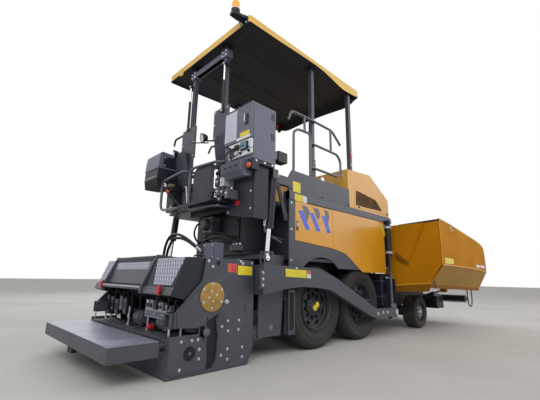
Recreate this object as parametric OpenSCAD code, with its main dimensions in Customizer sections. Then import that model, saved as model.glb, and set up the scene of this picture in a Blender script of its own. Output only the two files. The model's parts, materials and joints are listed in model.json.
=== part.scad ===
// Wheeled asphalt paver with an extending screed, open hopper wings and a fixed canopy.
// Millimetres, +X towards the hopper, +Y to the machine's left, +Z up, floor at z = 0.
// Lengths along X are first given from the rear drive axle; the whole machine is then
// moved along X so that the middle of its length is at x = 0.

/* [Wheels] */
// Radius of a drive wheel
drive_r = 480; // [440:5:485]
// Width of a drive wheel
drive_w = 280; // [240:5:285]
// Distance between the two drive axles
drive_base = 985; // [980:5:1040]
// Radius of the rim lip of a drive wheel
drive_rim_r = 277; // [250:1:290]
// How far a drive wheel's outer face stands inside the body's side
wheel_inset = 25; // [22:1:35]
// Radius of a steered front wheel
front_r = 272; // [250:2:280]
// Width of a steered front wheel
front_w = 230; // [200:5:240]
// Radius of the steel core of a front wheel
front_rim_r = 178; // [160:2:190]
// How far the front axle lies behind the tips of the hopper wings
front_axle_back = 1420; // [1370:10:1470]
// Distance from the main frame's side plate to the kingpin axis
kingpin_out = 70; // [60:5:90]
// Diameter of the drive and front stub shafts
shaft_d = 90; // [70:2:100]
// Clearance around a shaft that turns
shaft_gap = 0.08; // [0.05:0.01:0.1]

/* [Body] */
// Half of the body's width
body_half_w = 950; // [940:5:960]
// Rear end of the side frame rail
rail_rear_x = -525; // [-560:5:-500]
// Front end of the side frame rail
rail_front_x = 1940; // [1900:5:1950]
// Top of the side frame rail
rail_top_z = 1800; // [1780:5:1820]
// Height of the side frame rail
rail_h = 100; // [80:5:120]
// Thickness of the body's sheet panels
panel_t = 16; // [10:1:18]
// Top of the operator's floor
floor_z = 1650; // [1600:10:1680]
// Distance from the body's side to the main frame's side plate
frame_inset = 360; // [350:5:380]
// Thickness of the main frame's side plates
frame_t = 30; // [20:2:40]
// Underside of the main frame
frame_low_z = 330; // [300:5:350]
// Gap left round a door or a moving panel
door_gap = 8; // [6:1:12]

/* [Hood] */
// Rear wall of the engine hood
hood_rear_x = 745; // [720:5:780]
// Height of the hood's top at its rear wall
hood_rear_z = 2380; // [2340:5:2420]
// Place where the hood's roof ends and its front slope starts
hood_ridge_x = 1390; // [1350:5:1430]
// Height of the hood's roof at that place
hood_ridge_z = 2425; // [2380:5:2450]
// Height of the hood's nose at the front
hood_nose_z = 2100; // [2050:5:2150]

/* [Canopy] */
// Rear edge of the canopy
canopy_rear_x = -1221; // [-1260:1:-1180]
// Front edge of the canopy
canopy_front_x = 1150; // [1100:5:1180]
// Half of the canopy's width
canopy_half_w = 923; // [880:1:940]
// Height of the canopy's lower corners
canopy_low_z = 3705; // [3600:5:3750]
// Height of the canopy's rim at its corners
canopy_rim_h = 100; // [80:5:120]
// Thickness of the canopy's sheet
canopy_t = 18; // [12:1:25]
// Place of the rear posts
rear_post_x = -1100; // [-1120:5:-1060]
// Distance from the middle to a rear post
rear_post_y = 360; // [340:5:380]
// Place of the front posts
front_post_x = 905; // [880:5:930]
// Side of a square post
post_w = 60; // [50:2:70]

/* [Hopper] */
// Rear wall of the hopper wings
wing_rear_x = 1995; // [1985:1:2010]
// Front tip of the hopper wings
wing_tip_x = 4270; // [4200:10:4300]
// Distance from the middle to a wing's outer wall
wing_out_y = 1705; // [1650:5:1720]
// Height of a wing's outer wall at its rear
wing_top_z = 1720; // [1680:5:1740]
// Height of the fold where a wing's outer wall turns in
wing_fold_z = 1030; // [1000:5:1050]
// Height of a wing's floor at the hinge
wing_floor_z = 690; // [670:5:700]
// Thickness of the wing's plate
wing_t = 16; // [10:1:20]
// Distance from the main frame's side plate to a wing's hinge axis
wing_hinge_out = 50; // [45:5:60]
// Diameter of a wing hinge pin
wing_pin_d = 50; // [40:1:60]

/* [Push rollers] */
// How far the push rollers' axis lies behind the tips of the hopper wings
push_back = 100; // [85:5:120]
// Height of the push rollers' axis
push_z = 470; // [450:5:500]
// Radius of a push roller
push_r = 75; // [60:1:85]
// Half of the push beam's width
push_half_w = 1330; // [1250:10:1350]

/* [Augers] */
// Place of the auger axis
auger_x = -740; // [-760:5:-730]
// Height of the auger axis
auger_z = 300; // [280:5:320]
// Outer radius of an auger
auger_r = 155; // [130:1:160]
// Pitch of an auger's blade
auger_pitch = 270; // [240:10:300]
// Outer end of an auger
auger_end_y = 850; // [820:5:860]

/* [Tow arms] */
// Gap between the body's side and a tow arm
arm_gap = 15; // [10:1:25]
// Thickness of a tow arm
arm_t = 80; // [60:2:90]
// Place of the tow point pin
tow_x = 1760; // [1740:5:1775]
// Height of the tow point pin
tow_z = 335; // [320:5:350]
// Diameter of the tow point pin
tow_pin_d = 60; // [50:1:70]
// Diameter of a lift cylinder's rod
lift_rod_d = 45; // [38:1:50]
// Diameter of a lift cylinder's barrel
lift_barrel_d = 92; // [80:1:100]
// Top pin of a lift cylinder, place
lift_top_x = -870; // [-885:5:-860]
// Top pin of a lift cylinder, height
lift_top_z = 1890; // [1870:5:1895]
// Lower pin of a lift cylinder, place
lift_eye_x = -945; // [-955:5:-930]
// Lower pin of a lift cylinder, height
lift_eye_z = 1000; // [990:5:1020]

/* [Screed] */
// Rear face of the extensions
screed_rear_x = -1930; // [-1950:5:-1910]
// Front face of the main screed
screed_front_x = -1100; // [-1120:5:-1080]
// Half of the basic paving width
screed_half_w = 900; // [880:5:920]
// Thickness of an end plate
end_plate_t = 20; // [12:1:24]
// Height of the end plates and of the covers' top
screed_top_z = 968; // [940:2:980]
// Ground clearance of the screed's plates
screed_clear_z = 8; // [5:1:12]
// Place of the telescopic tube's axis
tele_x = -1536; // [-1550:1:-1520]
// Height of the telescopic tube's axis
tele_z = 628; // [610:1:640]
// Diameter of the telescopic tube
tele_d = 150; // [130:2:160]
// Rear edge of the walkway
walk_rear_x = -2386; // [-2400:1:-2350]
// Front edge of the walkway
walk_front_x = -1990; // [-2000:1:-1980]
// Top of the walkway
walk_top_z = 296; // [280:1:310]

/* [Hidden] */
$fn = 64;

// Colours
yellow = "#dc9a1e";
pale_yellow = "#f0c060";
steel_grey = "#474b57";
dark_navy = "#20232e";
console_grey = "#6e7180";
rubber_black = "#1b1b1d";
chrome = "#d8dade";
bronze = "#a8853f";

// Shift that puts the middle of the machine's length at x = 0
shift_x = -(wing_tip_x + walk_rear_x) / 2;

// Running clearance between sliding faces
slide_gap = 0.3;
// Clearance between pieces that move past each other
move_gap = 6;

// Corner to corner box
module block(a, b) {
  translate([min(a.x, b.x), min(a.y, b.y), min(a.z, b.z)])
    cube([abs(b.x - a.x), abs(b.y - a.y), abs(b.z - a.z)]);
}

// Side profile in X and Z carried from y0 to y1
module profile_y(points, y0, y1) {
  translate([0, max(y0, y1), 0])
    rotate([90, 0, 0])
      linear_extrude(abs(y1 - y0))
        polygon(points);
}

// Cross profile in Y and Z carried from x0 to x1
module profile_x(points, x0, x1) {
  translate([x0, 0, 0])
    rotate([90, 0, 90])
      linear_extrude(x1 - x0)
        polygon(points);
}

// Round bar along Y
module bar_y(x, z, d, y0, y1) {
  translate([x, max(y0, y1), z])
    rotate([90, 0, 0])
      cylinder(d = d, h = abs(y1 - y0));
}

// Round bar along X
module bar_x(y, z, d, x0, x1) {
  translate([x0, y, z])
    rotate([0, 90, 0])
      cylinder(d = d, h = x1 - x0);
}

// Round bar between any two points
module bar(a, b, d) {
  v = b - a;
  length = norm(v);
  translate(a)
    rotate([0, acos(v.z / length), atan2(v.y, v.x)])
      cylinder(d = d, h = length);
}

// Tube rail through a row of points; each length runs on past its bends by a quarter of the tube
module rail(points, d) {
  last = len(points) - 2;
  for (i = [0 : last]) {
    a = points[i];
    b = points[i + 1];
    step = (b - a) / norm(b - a) * d / 4;
    bar(i == 0 ? a : a - step, i == last ? b : b + step, d);
  }
}

// Right side as drawn for side -1, mirrored to the left for side 1
module on_side(side) {
  if (side > 0)
    mirror([0, 1, 0])
      children();
  else
    children();
}

// Both sides
module both_sides() {
  for (side = [-1, 1])
    on_side(side)
      children();
}

module place() {
  translate([shift_x, 0, 0])
    children();
}

// Main frame

// Outer half width of the main frame and inner half width of the conveyor tunnel
frame_half_w = body_half_w - frame_inset;
tunnel_half_w = frame_half_w - frame_t;
frame_rear_x = -545;
frame_mid_x = 1900;
frame_front_x = wing_tip_x - 320;
// Cross pieces run this far past the frame's side plates
cross_half_w = frame_half_w + 10;
frame_bottom_z = frame_low_z + 40;
hopper_frame_z = 640;
tunnel_floor_z = 620;
tunnel_floor_t = 20;
engine_floor_z = 1000;
engine_floor_t = 40;
bulkhead_t = 16;
panel_in_y = body_half_w - panel_t;
rail_in_y = body_half_w - 60;
band_low_z = rail_top_z - rail_h;
floor_t = 40;

// Vertical pivot of the push beam
push_pivot_x = frame_front_x + 50;
push_pin_d = 60;
push_ear_r = 50;
push_beam_x = push_pivot_x + push_ear_r + 7;
push_beam_t = 30;
push_x = wing_tip_x - push_back;

// Wing cylinders, seen along X: chassis pin, wing pin at rest
wing_hinge_y = frame_half_w + wing_hinge_out;
wing_cyl_x = frame_front_x - 450;
wing_cyl_y = frame_half_w + 65;
wing_cyl_z = 440;
wing_eye_y = wing_hinge_y + 510;
wing_eye_z = 640;
wing_cyl_pin_d = 36;
wing_cyl_d = 80;
wing_rod_d = 40;
clevis_t = 12;

// Tow arms and the tow point column
arm_in_y = body_half_w + arm_gap;
arm_out_y = arm_in_y + arm_t;
tow_col_y = arm_in_y + 20;
guide_half_w = 80;
guide_t = 15;
guide_low_z = 240;
guide_top_z = 820;
tow_rod_d = 45;
tow_barrel_d = 84;
tow_barrel_low_z = 1170;
tow_barrel_top_z = band_low_z - 10;

// Lashing hole near the front end of the frame
lash_x = frame_front_x - 150;
lash_z = frame_bottom_z + 120;
lash_r = 25;

module frame_side() {
  difference() {
    profile_y([
      [frame_rear_x, frame_bottom_z + 190],
      [frame_rear_x + 200, frame_bottom_z],
      [frame_front_x, frame_bottom_z],
      [frame_front_x, hopper_frame_z],
      [frame_mid_x, hopper_frame_z],
      [frame_mid_x, engine_floor_z],
      [frame_rear_x, engine_floor_z]
    ], -frame_half_w, -tunnel_half_w);
    bar_y(lash_x, lash_z, 2 * lash_r, -frame_half_w - 5, -tunnel_half_w + 5);
  }
}

module tow_bracket() {
  for (x = [tow_x - guide_half_w - 20, tow_x + guide_half_w])
    block([x, -body_half_w, 400], [x + 20, -frame_half_w, 600]);
}

// Ears on the frame that hold a wing cylinder's barrel
module wing_cyl_ears() {
  for (dx = [-1, 1])
    hull() {
      translate([wing_cyl_x + dx * 30, -wing_cyl_y, wing_cyl_z])
        rotate([0, 90, 0])
          cylinder(r = 36, h = clevis_t, center = true, $fn = 32);
      translate([wing_cyl_x + dx * 30 - clevis_t / 2, -frame_half_w - 4, wing_cyl_z - 60])
        cube([clevis_t, 4, 120]);
    }
  bar_x(-wing_cyl_y, wing_cyl_z, wing_cyl_pin_d, wing_cyl_x - 36, wing_cyl_x + 36);
}

module push_ears() {
  for (z = [push_z - 60, push_z + 40])
    translate([0, 0, z]) {
      translate([push_pivot_x, 0, 0])
        cylinder(r = push_ear_r, h = 20);
      block([frame_front_x, -push_ear_r, 0], [push_pivot_x, push_ear_r, 20]);
    }
  translate([push_pivot_x, 0, push_z - 60])
    cylinder(d = push_pin_d, h = 120);
}

module chassis() {
  color(dark_navy) place() {
    both_sides() {
      frame_side();
      tow_bracket();
      wing_cyl_ears();
    }
    push_ears();
    block([frame_rear_x, -tunnel_half_w, tunnel_floor_z - tunnel_floor_t],
          [frame_front_x, tunnel_half_w, tunnel_floor_z]);
    block([frame_rear_x, -panel_in_y, engine_floor_z],
          [frame_mid_x, panel_in_y, engine_floor_z + engine_floor_t]);
    block([frame_rear_x, -panel_in_y, engine_floor_z + engine_floor_t],
          [frame_rear_x + bulkhead_t, panel_in_y, floor_z - floor_t]);
    block([frame_mid_x - bulkhead_t, -rail_in_y, engine_floor_z], [frame_mid_x, rail_in_y, rail_top_z - 30]);
    block([frame_front_x - 20, -tunnel_half_w, frame_bottom_z],
          [frame_front_x, tunnel_half_w, tunnel_floor_z]);
  }
}

module engine_block() {
  color(steel_grey) place()
    block([hood_rear_x + 130, -380, engine_floor_z + engine_floor_t],
          [hood_ridge_x + 350, 380, rail_top_z - 30]);
}

// Engine hood

hood_half_w = body_half_w - 30;
hood_front_x = 1960;
hood_outline = [
  [hood_rear_x, rail_top_z],
  [hood_front_x, rail_top_z],
  [hood_front_x, hood_nose_z],
  [hood_ridge_x, hood_ridge_z],
  [hood_rear_x, hood_rear_z]
];
// Corners of the side window
grille_outline = [
  [950, rail_top_z + 75],
  [1730, rail_top_z + 75],
  [1690, rail_top_z + 165],
  [1560, rail_top_z + 260],
  [950, rail_top_z + 290]
];

function hood_z(x) = hood_rear_z
  + (x - hood_rear_x) * (hood_ridge_z - hood_rear_z) / (hood_ridge_x - hood_rear_x);

module hood() {
  color(yellow) place()
    difference() {
      profile_y(hood_outline, -hood_half_w, hood_half_w);
      profile_y([
        [hood_rear_x + panel_t, rail_top_z - 10],
        [hood_front_x - panel_t, rail_top_z - 10],
        [hood_front_x - panel_t, hood_nose_z - panel_t / 2],
        [hood_ridge_x - 5, hood_ridge_z - panel_t],
        [hood_rear_x + panel_t, hood_rear_z - panel_t]
      ], -hood_half_w + panel_t, hood_half_w - panel_t);
      profile_y(grille_outline, -hood_half_w - 10, hood_half_w + 10);
    }
}

module grilles() {
  color("#7a5520") place()
    both_sides()
      intersection() {
        profile_y(grille_outline, -hood_half_w, -hood_half_w + panel_t);
        union() {
          for (x = [930 : 48 : 1750])
            block([x, -hood_half_w + 2, rail_top_z], [x + 20, -hood_half_w + 8, hood_rear_z]);
          for (z = [rail_top_z + 60 : 44 : hood_rear_z])
            block([900, -hood_half_w + 8, z], [1760, -hood_half_w + 14, z + 16]);
        }
      }
}

// Side panels

door_rear_x = -440;
door_front_x = 300;
door_low_z = 1240;
skirt_low_z = 930;
cover_low_z = 900;
arch_x = 60;
arch_r = 560;
cover_front_x = tow_x - 60;

// Door hinges: a ring on the door turns on a pin that the cover holds
hinge_x = door_front_x + door_gap / 2;
hinge_y = body_half_w + 12;
hinge_heights = [1330, 1600];
hinge_pin_d = 12;
hinge_ring_d = 24;
hinge_h = 80;
hinge_gap = 4;

module hinge_pin() {
  for (z = hinge_heights) {
    translate([hinge_x, -hinge_y, z - hinge_h / 2 - hinge_gap - 20])
      cylinder(d = hinge_pin_d, h = hinge_h + 2 * hinge_gap + 40);
    for (z0 = [z - hinge_h / 2 - hinge_gap - 20, z + hinge_h / 2 + hinge_gap])
      translate([hinge_x, -hinge_y, z0]) {
        cylinder(d = hinge_ring_d, h = 20);
        translate([0, 2, 0])
          cube([60, 10, 20]);
      }
  }
}

module hinge_ring() {
  for (z = hinge_heights)
    difference() {
      union() {
        translate([hinge_x, -hinge_y, z - hinge_h / 2])
          cylinder(d = hinge_ring_d, h = hinge_h);
        block([hinge_x - 60, -hinge_y + 2, z - hinge_h / 2], [hinge_x, -body_half_w, z + hinge_h / 2]);
      }
      translate([hinge_x, -hinge_y, z - hinge_h])
        cylinder(d = hinge_pin_d + 2 * shaft_gap, h = 2 * hinge_h);
    }
}

module side_skirts() {
  color(steel_grey) place()
    both_sides()
      difference() {
        profile_y([
          [frame_rear_x, skirt_low_z], [1000, skirt_low_z], [704, 1048],
          [door_front_x, door_low_z - door_gap], [door_rear_x - door_gap, door_low_z - door_gap],
          [door_rear_x - door_gap, band_low_z], [frame_rear_x, band_low_z]
        ], -body_half_w, -panel_in_y);
        bar_y(arch_x, drive_r + 20, 2 * arch_r, -body_half_w - 10, -panel_in_y + 10);
      }
}

module side_covers() {
  color(yellow) place()
    both_sides() {
      profile_y([
        [door_front_x + door_gap, band_low_z], [cover_front_x, band_low_z], [cover_front_x, cover_low_z],
        [1010, cover_low_z], [1000, skirt_low_z], [704, 1048],
        [door_front_x + door_gap, door_low_z - door_gap]
      ], -body_half_w, -panel_in_y);
      hinge_pin();
    }
}

module service_door(side) {
  color(yellow) place()
    on_side(side) {
      block([door_rear_x, -body_half_w, door_low_z], [door_front_x, -panel_in_y, band_low_z - door_gap]);
      hinge_ring();
    }
}

// Deck and rails

deck_front_x = hood_rear_x - 5;
deck_rear_x = -1180;
rail_plate_t = 36;
guard_in_y = body_half_w - 35;
guard_top_z = rail_top_z + 264;
guard_rear_z = rail_top_z + 160;
lift_y = arm_in_y + arm_t / 2;
lift_pin_d = 40;

// Ear plates for the top of a lift cylinder and the beam that carries them
module lift_ears() {
  block([lift_top_x - 40, -lift_y - 42, lift_top_z + 47], [lift_top_x + 40, -rail_in_y + 5, lift_top_z + 67]);
  for (y = [-lift_y - 42, -lift_y + 30])
    block([lift_top_x - 40, y, lift_top_z - 40], [lift_top_x + 40, y + 12, lift_top_z + 47]);
  bar_y(lift_top_x, lift_top_z, lift_pin_d, -lift_y - 42, -lift_y + 42);
  block([lift_top_x - 40, -body_half_w + 8, lift_top_z - 40],
        [frame_rear_x + 30, -rail_in_y + 5, lift_top_z + 67]);
}

module deck() {
  color(steel_grey) place() {
    both_sides() {
      block([frame_rear_x, -body_half_w, band_low_z], [rail_front_x, -rail_in_y, rail_top_z]);
      profile_y([
        [frame_rear_x, rail_top_z], [deck_front_x, rail_top_z], [deck_front_x, guard_top_z],
        [frame_rear_x + 65, guard_top_z], [frame_rear_x, guard_rear_z]
      ], -body_half_w + 10, -guard_in_y);
      lift_ears();
      block([frame_rear_x, -rail_in_y, floor_z - floor_t],
            [deck_front_x, -rail_in_y + rail_plate_t, rail_top_z]);
    }
    block([deck_rear_x, -rail_in_y, floor_z - floor_t], [deck_front_x, rail_in_y, floor_z]);
    block([deck_front_x, -rail_in_y, rail_top_z - 30], [rail_front_x, rail_in_y, rail_top_z]);
    block([deck_front_x - 16, -rail_in_y, floor_z], [deck_front_x, rail_in_y, rail_top_z]);
  }
}

rail_d = 34;
rail_y = -rail_in_y + 20;
module handrails() {
  color(dark_navy) place()
    both_sides() {
      rail([[-489, rail_y, 2740], [-434, rail_y, 2885], [-160, rail_y, 2900],
            [440, rail_y, 2895], [650, rail_y, 2730]], rail_d);
      rail([[-385, rail_y, rail_top_z], [-385, rail_y, 2610], [-300, rail_y, 2675], [-60, rail_y, 2690],
            [-50, rail_y, 2590], [-50, rail_y, rail_top_z]], rail_d);
      rail([[-50, rail_y, 2560], [560, rail_y, 2560], [640, rail_y, 2480], [640, rail_y, 2300],
            [550, rail_y, 2225], [-50, rail_y, 2225]], rail_d);
      bar([-168, rail_y, 2690], [-168, rail_y, 2900], rail_d);
      bar([410, rail_y, 2560], [410, rail_y, 2895], rail_d);
    }
}

// Canopy

roof_low_z = canopy_low_z + 40;
mid_post_x = 40;
mid_post_y = rail_in_y - 40;
front_post_y = rail_in_y - post_w / 2;

module canopy_frame() {
  color(dark_navy) place() {
    both_sides() {
      block([rear_post_x - post_w / 2, -rear_post_y - post_w / 2, floor_z],
            [rear_post_x + post_w / 2, -rear_post_y + post_w / 2, roof_low_z]);
      profile_y([
        [front_post_x - post_w / 2, hood_z(front_post_x - post_w / 2)],
        [front_post_x + post_w / 2, hood_z(front_post_x + post_w / 2)],
        [front_post_x + post_w / 2, roof_low_z], [front_post_x - post_w / 2, roof_low_z]
      ], -front_post_y - post_w / 2, -front_post_y + post_w / 2);
      block([mid_post_x - post_w / 2, -mid_post_y, floor_z],
            [mid_post_x + post_w / 2, -mid_post_y + post_w, roof_low_z]);
    }
    block([rear_post_x - 30, -rear_post_y, 3570], [rear_post_x + 30, rear_post_y, 3630]);
  }
}

module canopy_roof() {
  color(pale_yellow) place() {
    block([canopy_rear_x, -canopy_half_w, roof_low_z],
          [canopy_front_x, canopy_half_w, roof_low_z + canopy_t]);
    both_sides()
      profile_y([
        [canopy_rear_x, canopy_low_z], [-200, canopy_low_z + 35], [600, canopy_low_z - 45],
        [canopy_front_x, canopy_low_z], [canopy_front_x, canopy_low_z + canopy_rim_h],
        [canopy_rear_x, canopy_low_z + canopy_rim_h]
      ], -canopy_half_w, -canopy_half_w + canopy_t);
    for (x = [canopy_rear_x, canopy_front_x - canopy_t])
      block([x, -canopy_half_w, canopy_low_z], [x + canopy_t, canopy_half_w, canopy_low_z + canopy_rim_h]);
    for (y = [-460, 0, 460])
      block([canopy_rear_x, y - 30, roof_low_z + canopy_t],
            [canopy_front_x, y + 30, canopy_low_z + canopy_rim_h]);
  }
}

module lamps() {
  color("#e0a020") place() {
    translate([canopy_rear_x - 70, -canopy_half_w + 60, canopy_low_z + 70])
      cylinder(d = 100, h = 170);
    block([canopy_rear_x - 110, -canopy_half_w + 20, canopy_low_z + 30],
          [canopy_rear_x, -canopy_half_w + 100, canopy_low_z + 70]);
    both_sides()
      translate([canopy_front_x - 60, -800, roof_low_z - 120]) {
        cylinder(d = 30, h = 120);
        rotate([0, 90, 0])
          cylinder(d = 120, h = 40, center = true);
      }
  }
}

// Operator's stations

console_rear_x = -1250;
console_front_x = -930;
console_in_y = 620;
console_out_y = 1095;
console_low_z = 1980;
console_top_z = 2600;

// Lid hinges: a ring on the lid turns on a pin between two ears of the console
lid_t = 20;
lid_gap = 6;
lid_hinge_x = console_rear_x - lid_gap;
lid_hinge_y = console_in_y - 12;
lid_hinge_heights = [2290, 2510];
lid_ring_d = 16;
lid_pin_d = 8;
lid_ring_h = 60;
lid_ear_h = 12;

module lid_pin() {
  for (z = lid_hinge_heights) {
    translate([lid_hinge_x, -lid_hinge_y, z - lid_ring_h / 2 - hinge_gap - lid_ear_h])
      cylinder(d = lid_pin_d, h = lid_ring_h + 2 * hinge_gap + 2 * lid_ear_h);
    for (z0 = [z - lid_ring_h / 2 - hinge_gap - lid_ear_h, z + lid_ring_h / 2 + hinge_gap])
      translate([lid_hinge_x, -lid_hinge_y, z0]) {
        cylinder(d = lid_ring_d, h = lid_ear_h);
        translate([0, -18, 0])
          cube([lid_gap + 20, 18, lid_ear_h]);
      }
  }
}

module console_r() {
  color(console_grey) place() {
    lid_pin();
    block([console_rear_x, -console_out_y, console_low_z], [console_front_x, -console_in_y, console_top_z]);
    block([-1170, -880, floor_z], [-980, -640, console_low_z]);
  }
}

module console_l() {
  color(console_grey) place() {
    block([-1420, 640, 2020], [-1000, 1045, 2330]);
    block([-1170, 640, floor_z], [-1000, 840, 2020]);
  }
}

module console_lid() {
  color(console_grey) place() {
    block([lid_hinge_x - lid_t, -console_out_y, console_top_z - 400],
          [lid_hinge_x, -console_in_y - 22, console_top_z]);
    for (z = lid_hinge_heights)
      difference() {
        union() {
          translate([lid_hinge_x, -lid_hinge_y, z - lid_ring_h / 2])
            cylinder(d = lid_ring_d, h = lid_ring_h);
          block([lid_hinge_x - lid_ring_d / 2, -console_in_y - 22, z - lid_ring_h / 2],
                [lid_hinge_x, -lid_hinge_y, z + lid_ring_h / 2]);
        }
        translate([lid_hinge_x, -lid_hinge_y, z - lid_ring_h])
          cylinder(d = lid_pin_d + 2 * shaft_gap, h = 2 * lid_ring_h);
      }
  }
}

seat_frame_x = -1400;
seat_frame_y = 600;
seat_top_z = 2000;
seat_plate_z = floor_z - floor_t - 10;
module seat_frames() {
  color(dark_navy) place() {
    for (side = [-1, 1])
      rail([[seat_frame_x, side * 290, seat_plate_z], [seat_frame_x, side * 290, seat_top_z],
            [seat_frame_x, side * seat_frame_y, seat_top_z],
            [seat_frame_x, side * seat_frame_y, seat_plate_z]], rail_d);
    block([seat_frame_x - 20, -640, floor_z - floor_t - 30], [-1100, 640, floor_z - floor_t]);
  }
}

housing_rear_x = deck_rear_x + 100;
housing_low_z = floor_z - 320;
module rear_housing() {
  color(dark_navy) place()
    block([housing_rear_x, -cross_half_w, housing_low_z], [frame_rear_x, cross_half_w, floor_z - floor_t]);
}

// Running gear

case_t = 42;
case_out_y = frame_half_w + case_t;
wheel_out_y = body_half_w - wheel_inset;
hub_face_y = wheel_out_y - 20;

module drive_axles() {
  color(dark_navy) place()
    both_sides() {
      block([-120, -case_out_y, drive_r - 80], [drive_base + 120, -frame_half_w, drive_r + 80]);
      for (x = [0, drive_base]) {
        bar_y(x, drive_r, shaft_d, -hub_face_y + 10, -case_out_y);
        bar_y(x, drive_r, 300, -case_out_y - 100, -case_out_y);
      }
    }
}

tyre_fit = 0.3;
module tyre(x, side) {
  color(rubber_black) place()
    on_side(side)
      translate([x, -wheel_out_y + drive_w, drive_r])
        rotate([90, 0, 0])
          rotate_extrude()
            polygon([
              [drive_rim_r + tyre_fit, 30], [drive_r - 90, 0], [drive_r - 20, 30], [drive_r, 70],
              [drive_r, drive_w - 70], [drive_r - 20, drive_w - 30], [drive_r - 90, drive_w],
              [drive_rim_r + tyre_fit, drive_w - 30]
            ]);
}

module rim(x, side) {
  color(dark_navy) place()
    on_side(side) {
      difference() {
        bar_y(x, drive_r, 2 * drive_rim_r, -hub_face_y, -wheel_out_y + drive_w - 20);
        bar_y(x, drive_r, 2 * drive_rim_r - 50, -wheel_out_y, -hub_face_y + 70);
        bar_y(x, drive_r, 2 * drive_rim_r - 50, -hub_face_y + 95, -wheel_out_y + drive_w);
        bar_y(x, drive_r, shaft_d + 2 * shaft_gap, -wheel_out_y, -frame_half_w);
      }
      difference() {
        bar_y(x, drive_r, 180, -hub_face_y + 12, -hub_face_y + 95);
        bar_y(x, drive_r, shaft_d + 2 * shaft_gap, -hub_face_y, -frame_half_w);
      }
      bar_y(x, drive_r, 150, -hub_face_y + 0, -hub_face_y + 12 - 3);
      difference() {
        bar_y(x, drive_r, 150, -hub_face_y, -hub_face_y + 12);
        bar_y(x, drive_r, shaft_d + 2 * shaft_gap, -hub_face_y + 9, -frame_half_w);
      }
    }
}

front_axle_x = wing_tip_x - front_axle_back;
kingpin_y = frame_half_w + kingpin_out;
kingpin_d = 50;
yoke_low_z = front_r - 82;
yoke_top_z = front_r + 78;
front_wheel_in_y = kingpin_y + 80;

module front_axle() {
  color(dark_navy) place() {
    block([front_axle_x - 70, -cross_half_w, front_r - 62], [front_axle_x + 70, cross_half_w, front_r + 58]);
    both_sides() {
      block([front_axle_x - 90, -frame_half_w, front_r + 58],
            [front_axle_x + 90, -tunnel_half_w, frame_bottom_z]);
      for (z = [yoke_low_z, front_r + 58])
        hull() {
          translate([front_axle_x, -kingpin_y, z])
            cylinder(r = 42, h = 20, $fn = 32);
          block([front_axle_x - 60, -cross_half_w, z], [front_axle_x + 60, -cross_half_w + 20, z + 20]);
        }
      translate([front_axle_x, -kingpin_y, yoke_low_z])
        cylinder(d = kingpin_d, h = yoke_top_z - yoke_low_z);
    }
  }
}

module knuckle(side) {
  color(steel_grey) place()
    on_side(side)
      difference() {
        union() {
          translate([front_axle_x, -kingpin_y, yoke_low_z + 24])
            cylinder(r = 45, h = 112);
          bar_y(front_axle_x, front_r, shaft_d, -front_wheel_in_y - front_w + 15, -kingpin_y);
          bar_y(front_axle_x, front_r, 106, -front_wheel_in_y + 10, -front_wheel_in_y + 30);
        }
        translate([front_axle_x, -kingpin_y, 0])
          cylinder(d = kingpin_d + 2 * shaft_gap, h = 600);
      }
}

front_wheel_out_y = front_wheel_in_y + front_w;
module front_tyre(side) {
  color(rubber_black) place()
    on_side(side)
      difference() {
        bar_y(front_axle_x, front_r, 2 * front_r, -front_wheel_out_y, -front_wheel_in_y);
        bar_y(front_axle_x, front_r, 2 * (front_rim_r + tyre_fit),
              -front_wheel_out_y - 5, -front_wheel_in_y + 5);
      }
}

module front_rim(side) {
  color(dark_navy) place()
    on_side(side)
      difference() {
        bar_y(front_axle_x, front_r, 2 * front_rim_r, -front_wheel_out_y + 5, -front_wheel_in_y - 5);
        bar_y(front_axle_x, front_r, shaft_d + 2 * shaft_gap, -front_wheel_out_y + 14, -front_wheel_in_y + 5);
      }
}

// Hopper

sill_top_z = 700;
wing_hinge_z = 665;
wing_stations = [wing_rear_x + 205, (wing_rear_x + frame_front_x) / 2 - 22.5, frame_front_x - 130];
wing_inner_y = wing_hinge_y + 50;
wing_bend_y = wing_out_y - 225;
wing_bend_z = wing_floor_z + 50;
wall_out_y = wing_out_y - 244;
wall_top_z = wing_top_z - 40;

module hopper_base() {
  color(yellow) place() {
    difference() {
      profile_x([
        [-wall_out_y, wall_top_z], [-wall_out_y, wall_top_z - 18], [-1190, 1092], [-1008, 1230],
        [-cross_half_w, 900], [-cross_half_w, hopper_frame_z], [cross_half_w, hopper_frame_z],
        [cross_half_w, 900], [1008, 1230], [1190, 1092],
        [wall_out_y, wall_top_z - 18], [wall_out_y, wall_top_z]
      ], wing_rear_x - 23, wing_rear_x - 7);
      block([wing_rear_x - 30, -tunnel_half_w, hopper_frame_z - 10],
            [wing_rear_x, tunnel_half_w, engine_floor_z]);
    }
    both_sides() {
      block([wing_rear_x - 23, -cross_half_w, hopper_frame_z], [frame_front_x, -tunnel_half_w, sill_top_z]);
      for (x = wing_stations) {
        for (dx = [-114, 100]) {
          bar_x(-wing_hinge_y, wing_hinge_z, 80, x + dx, x + dx + 14);
          block([x + dx, -wing_hinge_y, wing_hinge_z - 20], [x + dx + 14, -cross_half_w, wing_hinge_z + 25]);
        }
        bar_x(-wing_hinge_y, wing_hinge_z, wing_pin_d, x - 114, x + 114);
      }
    }
  }
}

module conveyor() {
  color(steel_grey) place() {
    block([frame_rear_x, -tunnel_half_w + 10, tunnel_floor_z],
          [frame_front_x - 10, tunnel_half_w - 10, tunnel_floor_z + 6]);
    for (x = [frame_rear_x + 40 : 300 : frame_front_x - 60])
      block([x, -tunnel_half_w + 20, tunnel_floor_z + 6], [x + 40, tunnel_half_w - 20, tunnel_floor_z + 40]);
  }
}

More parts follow.
